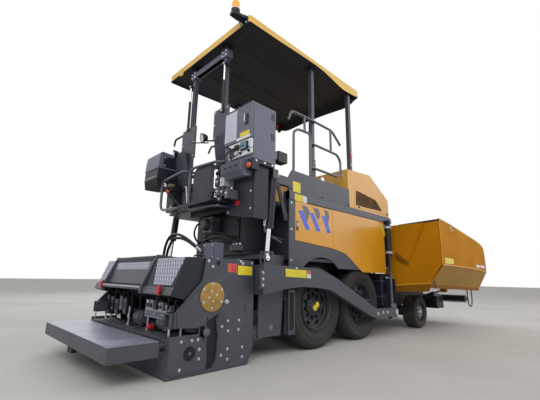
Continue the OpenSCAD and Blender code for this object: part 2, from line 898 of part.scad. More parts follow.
module wing(side) {
  color(yellow) place()
    on_side(side) {
      intersection() {
        profile_x([
          [-wing_inner_y, wing_floor_z], [-wing_bend_y, wing_bend_z], [-wing_out_y, wing_fold_z],
          [-wing_out_y, wing_top_z], [-wing_out_y + wing_t, wing_top_z],
          [-wing_out_y + wing_t, wing_fold_z + 6],
          [-wing_bend_y + 8, wing_bend_z + wing_t + 1], [-wing_inner_y, wing_floor_z + wing_t]
        ], wing_rear_x, wing_tip_x);
        profile_y([
          [wing_rear_x, 600], [frame_front_x, 600], [frame_front_x + 15, wing_bend_z],
          [wing_tip_x - 48, wing_fold_z],
          [wing_tip_x, 1170], [wing_tip_x - 640, 1580], [wing_rear_x, wing_top_z]
        ], -wing_out_y - 10, 0);
      }
      profile_x([
        [-wing_inner_y, wing_floor_z], [-wing_bend_y, wing_bend_z], [-wing_out_y, wing_fold_z],
        [-wing_out_y, wing_top_z - 1], [-1060, wing_top_z - 30]
      ], wing_rear_x, wing_rear_x + wing_t);
      for (x = wing_stations)
        difference() {
          union() {
            bar_x(-wing_hinge_y, wing_hinge_z, 76, x - 92, x + 92);
            block([x - 92, -wing_inner_y - 20, wing_hinge_z + 10],
                  [x + 92, -wing_hinge_y, wing_hinge_z + 30]);
          }
          bar_x(-wing_hinge_y, wing_hinge_z, wing_pin_d + 2 * shaft_gap, x - 200, x + 200);
        }
      for (dx = [-30, 30])
        difference() {
          profile_x([
            [-wing_eye_y - 55, wing_eye_z], [-wing_eye_y - 40, wing_eye_z - 45],
            [-wing_eye_y + 40, wing_eye_z - 45],
            [-wing_eye_y + 55, wing_eye_z], [-wing_eye_y + 70, 722], [-wing_eye_y - 70, 725]
          ], wing_cyl_x + dx - clevis_t / 2, wing_cyl_x + dx + clevis_t / 2);
          bar_x(-wing_eye_y, wing_eye_z, wing_cyl_pin_d + 40, wing_cyl_x - 100, wing_cyl_x + 100);
        }
    }
}

// Cylinder along its own +Z from its barrel pin; the pin's axis is along its own X
wing_cyl_len = norm([wing_eye_y - wing_cyl_y, wing_eye_z - wing_cyl_z]);
wing_cyl_lean = atan2(wing_eye_y - wing_cyl_y, wing_eye_z - wing_cyl_z);

module at_wing_cyl(side) {
  place()
    on_side(side)
      translate([wing_cyl_x, -wing_cyl_y, wing_cyl_z])
        rotate([wing_cyl_lean, 0, 0])
          children();
}

module wing_barrel(side) {
  color(dark_navy)
    at_wing_cyl(side)
      difference() {
        union() {
          cylinder(d = wing_cyl_d, h = 340);
          rotate([0, 90, 0])
            cylinder(d = 70, h = 40, center = true);
        }
        rotate([0, 90, 0])
          cylinder(d = wing_cyl_pin_d + 2 * shaft_gap, h = 100, center = true);
        rotate([0, 90, 0])
          for (s = [-1, 1])
            translate([0, 0, s * 50])
              cube([90, 90, 58], center = true);
        translate([0, 0, 60])
          cylinder(d = wing_rod_d + 2 * slide_gap, h = 400);
      }
}

module wing_rod(side) {
  color(chrome)
    at_wing_cyl(side) {
      translate([0, 0, 110])
        cylinder(d = wing_rod_d, h = wing_cyl_len - 110);
      translate([0, 0, wing_cyl_len])
        rotate([0, 90, 0])
          cylinder(d = 60, h = 44, center = true);
      translate([0, 0, wing_cyl_len])
        rotate([0, 90, 0])
          cylinder(d = wing_cyl_pin_d, h = 78, center = true);
    }
}

// Push beam and rollers

push_shaft_d = 40;
module push_beam() {
  color(dark_navy) place() {
    block([push_beam_x, -push_half_w, push_z - 40], [push_beam_x + push_beam_t, push_half_w, push_z + 60]);
    difference() {
      union() {
        translate([push_pivot_x, 0, push_z - 37])
          cylinder(r = 48, h = 74);
        block([push_pivot_x, -48, push_z - 37], [push_beam_x, 48, push_z + 37]);
      }
      translate([push_pivot_x, 0, push_z - 60])
        cylinder(d = push_pin_d + 2 * shaft_gap, h = 120);
    }
    both_sides() {
      for (y = [-push_half_w, -114])
        block([push_beam_x + push_beam_t, y, push_z - 40], [push_x + 40, y + 14, push_z + 40]);
      bar_y(push_x, push_z, push_shaft_d, -push_half_w, -100);
    }
  }
}

module push_rollers() {
  color(steel_grey) place()
    both_sides()
      difference() {
        bar_y(push_x, push_z, 2 * push_r, -push_half_w + 20, -120);
        bar_y(push_x, push_z, push_shaft_d + 2 * shaft_gap, -push_half_w, -100);
      }
}

// Augers

auger_shaft_d = 60;
hanger_in_y = auger_end_y + 12;
hanger_t = 20;

module auger_frame() {
  color(steel_grey) place() {
    difference() {
      block([auger_x - 90, -45, 190], [auger_x + 110, 45, engine_floor_z]);
      bar_y(auger_x, auger_z, auger_shaft_d + 2 * shaft_gap, -60, 60);
    }
    both_sides()
      difference() {
        profile_y([[-930, 210], [-600, 210], [-560, 700], [-560, engine_floor_z], [-800, engine_floor_z],
                   [-930, 690]],
                  -hanger_in_y - hanger_t, -hanger_in_y);
        bar_y(auger_x, auger_z, auger_shaft_d + 2 * shaft_gap, -hanger_in_y - 50, -hanger_in_y + 10);
      }
    block([-850, -hanger_in_y - hanger_t, engine_floor_z],
          [frame_rear_x, hanger_in_y + hanger_t, engine_floor_z + 50]);
  }
}

module auger(side) {
  length = auger_end_y - 65;
  color(steel_grey) place()
    on_side(side) {
      bar_y(auger_x, auger_z, auger_shaft_d, -hanger_in_y - hanger_t + 5, -5);
      translate([auger_x, -65, auger_z])
        rotate([90, 0, 0])
          linear_extrude(length, twist = 360 * length / auger_pitch, slices = 72, $fn = 4)
            translate([auger_shaft_d / 2 - 4, -13])
              square([auger_r - auger_shaft_d / 2 + 2, 26]);
    }
}

// Tow points

crosshead_low_z = tow_z - 85;
crosshead_top_z = tow_z + 110;
module tow_guides() {
  color(dark_navy) place()
    both_sides() {
      block([tow_x - guide_half_w - guide_t, -body_half_w - 8, guide_low_z],
            [tow_x + guide_half_w + guide_t, -body_half_w, guide_top_z]);
      for (x = [tow_x - guide_half_w - guide_t, tow_x + guide_half_w])
        block([x, -tow_col_y - 27, guide_low_z], [x + guide_t, -body_half_w - 8, guide_top_z]);
      difference() {
        translate([tow_x, -tow_col_y, tow_barrel_low_z])
          cylinder(d = tow_barrel_d, h = tow_barrel_top_z - tow_barrel_low_z);
        translate([tow_x, -tow_col_y, tow_barrel_low_z - 10])
          cylinder(d = tow_rod_d + 2 * slide_gap, h = tow_barrel_top_z - tow_barrel_low_z - 30);
      }
      block([tow_x - 45, -tow_col_y - 45, tow_barrel_top_z],
            [tow_x + 45, -body_half_w, tow_barrel_top_z + 40]);
    }
}

module tow_slides() {
  color(chrome) place()
    both_sides() {
      difference() {
        block([tow_x - guide_half_w + 1, -tow_col_y - 25, crosshead_low_z],
              [tow_x + guide_half_w - 1, -tow_col_y + 25, crosshead_top_z]);
        bar_y(tow_x, tow_z, tow_pin_d + 2 * shaft_gap, -tow_col_y - 40, -tow_col_y + 40);
      }
      translate([tow_x, -tow_col_y, crosshead_top_z])
        cylinder(d = tow_rod_d, h = tow_barrel_low_z + 230 - crosshead_top_z);
    }
}

module tow_pins() {
  color(chrome) place()
    both_sides() {
      bar_y(tow_x, tow_z, tow_pin_d, -arm_out_y - 2, -tow_col_y + 25);
      bar_y(tow_x, tow_z, tow_pin_d + 26, -arm_out_y - 12, -arm_out_y - 2);
    }
}

arm_rear_x = -1020;
arm_front_x = 1640;
arm_low_z = 640;
arm_top_z = 930;
slot_w = 90;
slot_h = 96;
lift_eye_pin_d = 30;

module tow_arms() {
  color(steel_grey) place()
    both_sides() {
      profile_y([
        [arm_rear_x, arm_top_z], [-400, arm_top_z - 5], [-150, 915], [0, 885], [250, 800], [820, 558],
        [1060, 450], [1200, 400], [arm_front_x, 395], [arm_front_x, 275], [1200, 275], [1020, 315],
        [860, 375],
        [360, 570], [100, 670], [-150, 700], [-420, 712], [-700, 690], [arm_rear_x, arm_low_z]
      ], -arm_out_y, -arm_in_y);
      difference() {
        union() {
          bar_y(tow_x, tow_z, 124, -arm_out_y, -arm_out_y + 30);
          block([1500, -arm_out_y, 275], [tow_x, -arm_out_y + 30, 395]);
        }
        bar_y(tow_x, tow_z, tow_pin_d + 2 * shaft_gap, -arm_out_y - 10, -arm_out_y + 60);
      }
      block([arm_rear_x, -arm_in_y, arm_low_z], [-960, -700, arm_top_z]);
      block([screed_front_x, -890, arm_low_z], [arm_rear_x, -700, arm_top_z]);
      for (y = [-lift_y - 34, -lift_y + 24])
        difference() {
          block([lift_eye_x - 65, y, arm_top_z - 20], [lift_eye_x + 65, y + 10, lift_eye_z + 66]);
          block([lift_eye_x - slot_w / 2, y - 5, lift_eye_z - slot_h / 2],
                [lift_eye_x + slot_w / 2, y + 15, lift_eye_z + slot_h / 2]);
        }
    }
}

// Lift cylinders, along their own -Z from the top pin
lift_len = norm([lift_top_x - lift_eye_x, lift_top_z - lift_eye_z]);
lift_lean = atan2(lift_top_x - lift_eye_x, lift_top_z - lift_eye_z);
lift_barrel_len = 590;

module at_lift(side) {
  place()
    on_side(side)
      translate([lift_top_x, -lift_y, lift_top_z])
        rotate([0, lift_lean, 0])
          mirror([0, 0, 1])
            children();
}

module lift_barrel(side) {
  color(dark_navy)
    at_lift(side)
      difference() {
        union() {
          translate([0, 0, 30])
            cylinder(d = lift_barrel_d, h = lift_barrel_len - 30);
          rotate([90, 0, 0])
            cylinder(d = 78, h = 52, center = true);
        }
        rotate([90, 0, 0])
          cylinder(d = lift_pin_d + 2 * shaft_gap, h = 120, center = true);
        for (s = [-1, 1])
          translate([0, s * 57, 0])
            cube([120, 60, 110], center = true);
        translate([0, 0, 60])
          cylinder(d = lift_rod_d + 2 * slide_gap, h = lift_barrel_len);
      }
}

module lift_rod(side) {
  color(chrome)
    at_lift(side) {
      translate([0, 0, 310])
        cylinder(d = lift_rod_d, h = lift_len - 310);
      translate([0, 0, lift_len])
        rotate([90, 0, 0])
          cylinder(d = 56, h = 40, center = true);
      translate([0, 0, lift_len])
        rotate([90, 0, 0])
          cylinder(d = lift_eye_pin_d, h = 68, center = true);
    }
}

// Screed

screed_side_y = screed_half_w - 3;
guide_rod_x = -1700;
guide_rod_z = 430;
guide_rod_d = 50;
ext_front_x = -1650;
ext_top_z = 300;
sole_rear_x = -1560;
tele_housing_d = 200;
rib_low_z = 330;

module screed_rib(y0, y1) {
  difference() {
    profile_y([
      [-1760, 350], [-1640, rib_low_z], [screed_front_x - 25, rib_low_z], [screed_front_x - 25, 640],
      [-1760, 600]
    ], y0, y1);
    bar_y(guide_rod_x, guide_rod_z, guide_rod_d + 2 * slide_gap, y0 - 5, y1 + 5);
    bar_y(tele_x, tele_z, tele_d + 2 * slide_gap, y0 - 5, y1 + 5);
  }
}

module cover_slope(y0, y1) {
  profile_y([
    [-1810, screed_top_z], [-1930, 640], [-1914, 640], [-1796, screed_top_z - 18]
  ], y0, y1);
}

module screed_frame() {
  color(dark_navy) place() {
    block([sole_rear_x, -screed_side_y, screed_clear_z], [screed_front_x, screed_side_y, 60]);
    block([sole_rear_x + 15, -screed_side_y, 60], [screed_front_x, screed_side_y, rib_low_z]);
    block([screed_front_x - 25, -screed_side_y, rib_low_z], [screed_front_x, screed_side_y, screed_top_z]);
    block([-1810, -screed_side_y, screed_top_z - 18], [screed_front_x, screed_side_y, screed_top_z]);
    cover_slope(-screed_side_y, -320);
    cover_slope(660, screed_side_y);
    both_sides() {
      screed_rib(-screed_side_y, -screed_side_y + 20);
      screed_rib(-580, -560);
      difference() {
        profile_y([
          [-1810, screed_top_z], [-1930, 640], [-1760, 600], [screed_front_x, 600],
          [screed_front_x, screed_top_z]
        ], -screed_side_y, -screed_side_y + 14);
        bar_y(tele_x, tele_z, tele_d + 2 * slide_gap, -screed_side_y - 5, -screed_side_y + 25);
      }
    }
    difference() {
      bar_y(tele_x, tele_z, tele_housing_d, -screed_side_y, screed_side_y);
      bar_y(tele_x, tele_z, tele_d + 2 * slide_gap, -screed_side_y - 5, screed_side_y + 5);
    }
  }
}

end_in_y = screed_half_w + 2;
end_out_y = end_in_y + end_plate_t;
end_hole_x = -1736;
end_hole_z = 183;
end_hole_r = 35;
end_hole_depth = 120;

module extension(side) {
  color(steel_grey) place()
    on_side(side) {
      difference() {
        profile_y([
          [-1030, 150], [-1040, screed_top_z], [-1610, screed_top_z], [-1640, 770], [-1890, 500],
          [-1890, 385],
          [-1650, 385], [-1650, 325], [screed_rear_x, 325], [screed_rear_x, screed_clear_z],
          [-1093, screed_clear_z]
        ], -end_out_y, -end_in_y);
        block([-1640, -end_out_y - 5, 40], [-1590, -end_in_y + 5, 385]);
        bar_y(end_hole_x, end_hole_z, 2 * end_hole_r, -end_out_y - 5, -end_in_y + 5);
      }
      difference() {
        block([screed_rear_x, -end_in_y, screed_clear_z], [ext_front_x, -3, ext_top_z]);
        bar_y(end_hole_x, end_hole_z, 2 * end_hole_r, -end_out_y - 5, -end_out_y + end_hole_depth);
      }
      bar_y(tele_x, tele_z, tele_d, -end_in_y, -40);
      bar_y(guide_rod_x, guide_rod_z, guide_rod_d, -end_in_y, -40);
      bar_y(tele_x, tele_z, 258, -end_out_y - 14, -end_out_y);
      difference() {
        block([walk_rear_x, -screed_half_w + 10, walk_top_z - 116], [walk_front_x, -3, walk_top_z]);
        block([walk_rear_x + 8, -screed_half_w + 18, walk_top_z - 130],
              [walk_front_x - 8, -11, walk_top_z - 8]);
      }
      for (y = [-860, -120])
        block([walk_front_x, y, walk_top_z - 110], [screed_rear_x, y + 50, walk_top_z - 30]);
    }
}

chassis();
engine_block();
hood();
grilles();
side_skirts();
side_covers();
service_door(-1);  // service_door_r
service_door(1);  // service_door_l
deck();
handrails();
canopy_frame();
canopy_roof();
lamps();
console_r();
console_l();
console_lid();
seat_frames();
rear_housing();
drive_axles();
tyre(0, -1);  // tyre_rear_r
tyre(drive_base, -1);  // tyre_mid_r
tyre(0, 1);  // tyre_rear_l
tyre(drive_base, 1);  // tyre_mid_l
rim(0, -1);  // rim_rear_r
rim(drive_base, -1);  // rim_mid_r
rim(0, 1);  // rim_rear_l
rim(drive_base, 1);  // rim_mid_l
front_axle();
knuckle(-1);  // knuckle_r
knuckle(1);  // knuckle_l
front_tyre(-1);  // front_tyre_r
front_tyre(1);  // front_tyre_l
front_rim(-1);  // front_rim_r
front_rim(1);  // front_rim_l
hopper_base();
conveyor();
wing(-1);  // wing_r
wing(1);  // wing_l
wing_barrel(-1);  // wing_barrel_r
wing_barrel(1);  // wing_barrel_l
wing_rod(-1);  // wing_rod_r
wing_rod(1);  // wing_rod_l
push_beam();
push_rollers();
auger_frame();
auger(-1);  // auger_r
auger(1);  // auger_l
tow_guides();
tow_slides();
tow_pins();
tow_arms();
lift_barrel(-1);  // lift_barrel_r
lift_barrel(1);  // lift_barrel_l
lift_rod(-1);  // lift_rod_r
lift_rod(1);  // lift_rod_l
screed_frame();
extension(-1);  // extension_r
extension(1);  // extension_l
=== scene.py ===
"""Looks of a wheeled asphalt paver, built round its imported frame.

Lengths are in metres, apart from the rows of numbers that end a call of mm(), boxes(), plate()
or turned(), which are in millimetres.
A piece is drawn on the machine's right side, with X from a point 50 mm behind the rear
drive axle, and moved into the frame when its mesh is made; +Y is the left and +Z is up.
"""

import json
import math

import bmesh
import bpy
import numpy as np
from mathutils import Matrix, Vector

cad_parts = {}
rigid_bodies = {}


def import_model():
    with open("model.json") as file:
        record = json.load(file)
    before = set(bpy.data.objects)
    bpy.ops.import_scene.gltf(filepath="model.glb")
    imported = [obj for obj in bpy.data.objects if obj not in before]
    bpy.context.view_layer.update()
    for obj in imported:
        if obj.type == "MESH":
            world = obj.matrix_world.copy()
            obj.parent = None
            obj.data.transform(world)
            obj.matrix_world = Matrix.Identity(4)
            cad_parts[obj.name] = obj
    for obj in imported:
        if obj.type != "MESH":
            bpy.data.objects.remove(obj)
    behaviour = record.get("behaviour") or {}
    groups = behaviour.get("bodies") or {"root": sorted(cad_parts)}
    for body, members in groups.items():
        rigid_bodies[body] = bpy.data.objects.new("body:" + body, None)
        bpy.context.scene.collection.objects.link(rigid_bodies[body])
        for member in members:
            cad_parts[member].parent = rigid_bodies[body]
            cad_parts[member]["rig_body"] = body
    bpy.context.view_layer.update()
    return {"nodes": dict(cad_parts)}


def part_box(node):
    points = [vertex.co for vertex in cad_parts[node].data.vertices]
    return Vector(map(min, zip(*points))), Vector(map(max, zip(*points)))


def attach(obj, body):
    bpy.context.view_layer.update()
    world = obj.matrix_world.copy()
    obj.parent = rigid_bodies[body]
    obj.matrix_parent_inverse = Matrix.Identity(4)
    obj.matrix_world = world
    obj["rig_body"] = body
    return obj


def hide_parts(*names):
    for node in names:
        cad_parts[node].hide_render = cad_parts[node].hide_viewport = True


bl_info = {
    "name": "Asphalt paver dressing",
    "version": (1, 0, 0),
    "blender": (4, 5, 0),
    "location": "View3D > Sidebar > Paver",
    "description": "Builds the visible pieces of a wheeled asphalt paver round its frame",
    "category": "Add Mesh",
}

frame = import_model()
ORIGIN_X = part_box("hood")[0].x - 0.745
AHEAD, LEFT, UP = np.eye(3)
BACK, RIGHT, DOWN = -AHEAD, -LEFT, -UP
SIDES = ("r", -1), ("l", 1)


# Surfaces


def mm(*numbers, row=2):
    """Points typed in millimetres one after another, as rows of two or three in metres."""
    return [tuple(v / 1000 for v in numbers[k:k + row]) for k in range(0, len(numbers), row)]


def grid_faces(rows, columns, close_rows=False, close_columns=False):
    """Quads of a rows x columns grid of points, numbered row by row."""
    r = np.arange(rows if close_rows else rows - 1)
    c = np.arange(columns if close_columns else columns - 1)
    r, c = np.meshgrid(r, c, indexing="ij")
    r2, c2 = (r + 1) % rows, (c + 1) % columns
    quads = np.stack([r * columns + c, r2 * columns + c, r2 * columns + c2, r * columns + c2], -1)
    return [quads.reshape(-1, 4)]


def turn_to(axis):
    """Rotation whose columns are two cross directions and the given unit axis."""
    z = np.asarray(axis, float)
    z = z / np.linalg.norm(z)
    helper = np.array([0.0, 0.0, 1.0]) if abs(z[2]) < 0.9 else np.array([1.0, 0.0, 0.0])
    x = np.cross(helper, z)
    x /= np.linalg.norm(x)
    return np.stack([x, np.cross(z, x), z], 1)


def prism(outline, low, high, along="y"):
    """A flat outline carried straight from low to high along one axis.

    The outline's two coordinates are the other two axes, in X, Y, Z order.
    """
    flat = np.asarray(outline, float)
    count = len(flat)
    place = {"x": (1, 2, 0), "y": (0, 2, 1), "z": (0, 1, 2)}[along]
    points = np.zeros((2 * count, 3))
    for half, level in enumerate((low, high)):
        points[half * count:(half + 1) * count, place[0]] = flat[:, 0]
        points[half * count:(half + 1) * count, place[1]] = flat[:, 1]
        points[half * count:(half + 1) * count, place[2]] = level
    ring = np.arange(count)
    sides = np.stack([ring, (ring + 1) % count, (ring + 1) % count + count, ring + count], 1)
    return points, [sides, ring[None, ::-1], ring[None] + count]


def box(a, b):
    """Corner to corner box."""
    return prism([(a[0], a[1]), (b[0], a[1]), (b[0], b[1]), (a[0], b[1])], a[2], b[2], "z")


def circle(count, centre, radius, flat="y", start=0.0):
    """Places evenly round a circle that lies square to one axis."""
    angle = np.linspace(0, 2 * np.pi, count, endpoint=False) + start
    offset = {"y": (np.cos(angle), 0 * angle, np.sin(angle)),
        "z": (np.cos(angle), np.sin(angle), 0 * angle)}[flat]
    return np.asarray(centre, float) + radius * np.stack(offset, 1)


def lathe(profile, centre, axis, sides):
    """A profile of (radius, distance along the axis) turned round the axis."""
    radius, along = np.asarray(profile, float).T
    angle = np.linspace(0, 2 * np.pi, sides, endpoint=False)
    local = np.stack([np.outer(np.cos(angle), radius), np.outer(np.sin(angle), radius),
        np.outer(np.ones(sides), along)], -1)
    points = local @ turn_to(axis).T + np.asarray(centre, float)
    return points.reshape(-1, 3), grid_faces(sides, len(radius), close_rows=True)


def smooth_line(points, steps):
    """Catmull-Rom line through the points, with steps samples a span."""
    p = np.asarray(points, float)
    p = np.vstack([2 * p[0] - p[1], p, 2 * p[-1] - p[-2]])
    t = np.linspace(0, 1, steps, endpoint=False)[:, None]
    spans = [0.5 * (2 * b + (c - a) * t + (2 * a - 5 * b + 4 * c - d) * t**2
        + (3 * b - a - 3 * c + d) * t**3) for a, b, c, d in zip(p[:-3], p[1:-2], p[2:-1], p[3:])]
    return np.vstack(spans + [p[-2][None]])


def round_bends(points, radius, steps=6):
    """A line whose inner corners become arcs: each corner is a quadratic between two cuts."""
    p = np.asarray(points, float)
    line = [p[0][None]]
    t = np.linspace(0, 1, steps)[:, None]
    for a, b, c in zip(p[:-2], p[1:-1], p[2:]):
        back, on = a - b, c - b
        cut = min(radius, 0.45 * np.linalg.norm(back), 0.45 * np.linalg.norm(on))
        start = b + back / np.linalg.norm(back) * cut
        end = b + on / np.linalg.norm(on) * cut
        line.append((1 - t)**2 * start + 2 * t * (1 - t) * b + t**2 * end)
    return np.vstack(line + [p[-1][None]])


def tube(path, radius, sides):
    """A circle carried along a path, turned the least from one point to the next."""
    p = np.asarray(path, float)
    ahead = np.roll(p, -1, 0) - np.roll(p, 1, 0)
    ahead[0], ahead[-1] = p[1] - p[0], p[-1] - p[-2]
    ahead /= np.linalg.norm(ahead, axis=1)[:, None]
    across = np.zeros_like(p)
    across[0] = turn_to(ahead[0])[:, 0]
    for i in range(1, len(p)):
        step = across[i - 1] - ahead[i] * (across[i - 1] @ ahead[i])
        across[i] = step / np.linalg.norm(step)
    up = np.cross(ahead, across)
    angle = np.linspace(0, 2 * np.pi, sides, endpoint=False)
    radii = np.broadcast_to(np.asarray(radius, float), (len(p),))
    ring = across[:, None] * np.cos(angle)[None, :, None] + up[:, None] * np.sin(angle)[None, :, None]
    points = (p[:, None] + ring * radii[:, None, None]).reshape(-1, 3)
    ends = np.arange(sides)
    return (points, grid_faces(len(p), sides, close_columns=True) + [ends[None, ::-1],
        ends[None] + (len(p) - 1) * sides])


def copies(shape, places, axis=None):
    """The same shape at several places, turned so that its own Z points along the axis."""
    points, faces = shape
    turned = points @ turn_to(axis).T if axis is not None else points
    places = np.asarray(places, float).reshape(-1, 3)
    every = (turned[None] + places[:, None]).reshape(-1, 3)
    shift = (np.arange(len(places)) * len(points))[:, None, None]
    return every, [(f[None] + shift).reshape(-1, f.shape[1]) for f in faces]


def hex_head(width, height):
    """Hexagonal bolt head with a chamfered top on a thin washer, along its own Z."""
    r = width / 2
    return merged(lathe([(0, 0), (r * 1.35, 0), (r * 1.35, height * 0.18), (0, height * 0.18)], (0, 0, 0),
        UP, 12), lathe([(0, 0.1 * height), (r, 0.1 * height), (r, 0.8 * height), (0.8 * r, height),
        (0, height)], (0, 0, 0), UP, 6))


def merged(*shapes):
    """Several shapes as one list of points and faces."""
    points, faces, count = [], [], 0
    for p, f in shapes:
        points.append(p)
        faces += [g + count for g in f]
        count += len(p)
    return np.vstack(points), faces


def mirrored(shape):
    """The same shape on the machine's other side."""
    points, faces = shape
    return points * (1, -1, 1), [f[:, ::-1] for f in faces]


class Piece:
    """One mesh object, grown from shapes that each bring their own finish."""

    def __init__(self, name, body, bevel=0.0, side=-1):
        self.name, self.body, self.bevel, self.side = name, body, bevel, side
        self.points, self.loops, self.sizes, self.marks, self.finishes = [], [], [], [], []
        self.count = 0

    def add(self, shape, finish):
        """The shape, drawn on the right side; a piece of side 1 gets its mirror image."""
        points, faces = mirrored(shape) if self.side == 1 else shape
        if finish not in self.finishes:
            self.finishes.append(finish)
        mark = self.finishes.index(finish)
        for group in faces:
            self.loops.append((group + self.count).ravel())
            self.sizes.append(np.full(len(group), group.shape[1]))
            self.marks.append(np.full(len(group), mark))
        self.points.append(points)
        self.count += len(points)
        return self

    def both(self, shape, finish):
        """The shape on the right side, where it is drawn, and on the left."""
        self.add(shape, finish)
        return self.add(mirrored(shape), finish)

    def boxes(self, finish, *corners):
        """Boxes, each typed in millimetres as its low and its high corner."""
        for row in mm(*corners, row=6):
            self.add(box(row[:3], row[3:]), finish)

    def boxes_both(self, finish, *corners):
        """The same boxes on both sides."""
        for row in mm(*corners, row=6):
            self.both(box(row[:3], row[3:]), finish)

    def bolts(self, places, axis, width=0.018, height=0.008):
        """Bright bolt heads at the places."""
        self.add(bolts(places, axis, width, height), "bolt")

    def bolts_both(self, places, axis, width=0.018, height=0.008):
        """The same bolt heads on both sides."""
        self.both(bolts(places, axis, width, height), "bolt")

    def plate(self, finish, low, high, *outline, along="y"):
        """A flat outline, typed in millimetres, from low to high in metres."""
        self.add(prism(mm(*outline), low, high, along), finish)

    def turned(self, finish, centre, axis, sides, *profile):
        """A profile of (radius, distance along the axis), typed in millimetres, turned round it."""
        self.add(lathe(mm(*profile), centre, axis, sides), finish)

    def build(self, *replaced):
        points = np.vstack(self.points) + (ORIGIN_X, 0, 0)
        loops, sizes = np.concatenate(self.loops), np.concatenate(self.sizes)
        mesh = bpy.data.meshes.new(self.name)
        mesh.vertices.add(len(points))
        mesh.vertices.foreach_set("co", points.ravel())
        mesh.loops.add(len(loops))
        mesh.loops.foreach_set("vertex_index", loops)
        mesh.polygons.add(len(sizes))
        mesh.polygons.foreach_set("loop_start", np.concatenate([[0], np.cumsum(sizes)[:-1]]))
        mesh.polygons.foreach_set("material_index", np.concatenate(self.marks))
        mesh.update(calc_edges=True)
        for finish in self.finishes:
            mesh.materials.append(finish_named(finish))
        work = bmesh.new()
        work.from_mesh(mesh)
        bmesh.ops.remove_doubles(work, verts=work.verts, dist=1e-06)
        bmesh.ops.recalc_face_normals(work, faces=work.faces)
        work.to_mesh(mesh)
        work.free()
        mesh.polygons.foreach_set("use_smooth", np.ones(len(mesh.polygons), bool))
        mesh.set_sharp_from_angle(angle=math.radians(35))
        thing = bpy.data.objects.new(self.name, mesh)
        bpy.context.scene.collection.objects.link(thing)
        if self.bevel:
            round_edges(thing, self.bevel, 50)
        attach(thing, self.body)
        if replaced:
            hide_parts(*replaced)
        return thing


# Sizes and colours that a user would change


def linear(code):
    """Linear colour of a six-digit screen colour such as DC9A1E."""
    levels = [int(code[i:i + 2], 16) / 255 for i in (0, 2, 4)]
    return tuple(v / 12.92 if v <= 0.04045 else ((v + 0.055) / 1.055)**2.4 for v in levels)


def colour(name, description, code):
    return bpy.props.FloatVectorProperty(name=name, description=description, default=linear(code), size=3,
        min=0, max=1, subtype="COLOR")


def length(name, description, default):
    return bpy.props.FloatProperty(name=name, description=description, default=default, min=0,
        unit="LENGTH")


class PaverColours(bpy.types.PropertyGroup):
    yellow: colour("Body yellow", "Side panels and doors", "E09C14")
    hood: colour("Hood yellow", "Engine hood, a little faded", "E3A63A")
    hopper: colour("Hopper yellow", "Hopper wings and walls", "C4820C")
    canopy: colour("Canopy yellow", "Top and rim of the canopy", "F3C45E")
    grey: colour("Machine grey", "Tow arms, skirts and screed", "41454F")
    dark: colour("Dark grey", "Frames, covers and posts", "20232D")
    chassis: colour("Chassis", "Main frame and axles", "1C2029")
    console: colour("Console grey", "Operator's consoles", "646878")
    rim: colour("Rims", "Drive and front rims", "171B2A")
    tyre: colour("Rubber", "Tyres", "1D1D20")
    blue: colour("Blue bars", "Slanted bars on the service doors", "1F4FD0")
    dust: colour("Dust", "Dry film on low and level faces", "8F897C")
    rust: colour("Rust", "Spots on bare steel", "6B4226")


class PaverSizes(bpy.types.PropertyGroup):
    bolt: length("Bolt width", "Across the flats of a common bolt", 0.03)
    groove: length("Tread groove", "Depth of the grooves of a drive tyre", 0.012)
    chequer: length("Chequer", "Pitch of the raised bars on tread plate", 0.045)
    mesh: length("Wire mesh", "Pitch of the hood's wire mesh", 0.014)


class PaverView(bpy.types.PropertyGroup):
    camera: bpy.props.FloatVectorProperty(name="Camera", description="Place of the camera",
        default=(-4.3126, -3.5264, 0.80655), size=3, subtype="TRANSLATION", unit="LENGTH")
    aim: bpy.props.FloatVectorProperty(name="Aim",
        description="Yaw, pitch and roll of the camera, in degrees", default=(45.728, 12.88, -1.026),
        size=3)
    lens: bpy.props.FloatProperty(name="Lens", description="Focal length on a 36 mm sensor",
        default=22.565, unit="CAMERA")
    sky_colour: colour("Sky", "Colour of the light from all round", "F4F6FA")
    sky_strength: bpy.props.FloatProperty(name="Sky strength", description="Strength of that light",
        default=0.55, min=0)


# Finishes


class Value:
    """A shader value; each of Python's operators on it adds a Math node."""

    def __init__(self, finish, socket):
        self.finish, self.socket = finish, socket

    def math(self, operation, *values, **settings):
        return self.finish.node("ShaderNodeMath", {"operation": operation, **settings}, *values)

    def __add__(self, other):
        return self.math("ADD", self, other)

    __radd__ = __add__

    def __sub__(self, other):
        return self.math("SUBTRACT", self, other)

    def __rsub__(self, other):
        return self.math("SUBTRACT", other, self)

    def __mul__(self, other):
        return self.math("MULTIPLY", self, other)

    __rmul__ = __mul__

    def __truediv__(self, other):
        return self.math("DIVIDE", self, other)

    def __gt__(self, other):
        return self.math("GREATER_THAN", self, other)

    def fract(self):
        return self.math("FRACT", self)

    def floor(self):
        return self.math("FLOOR", self)

    def size(self):
        return self.math("ABSOLUTE", self)

    def most(self, other):
        return self.math("MAXIMUM", self, other)

    def clamp(self):
        return self.math("ADD", self, 0.0, use_clamp=True)

    def step(self, low, high):
        """0 below low, 1 above high and straight between."""
        return ((self - low) / (high - low)).clamp()


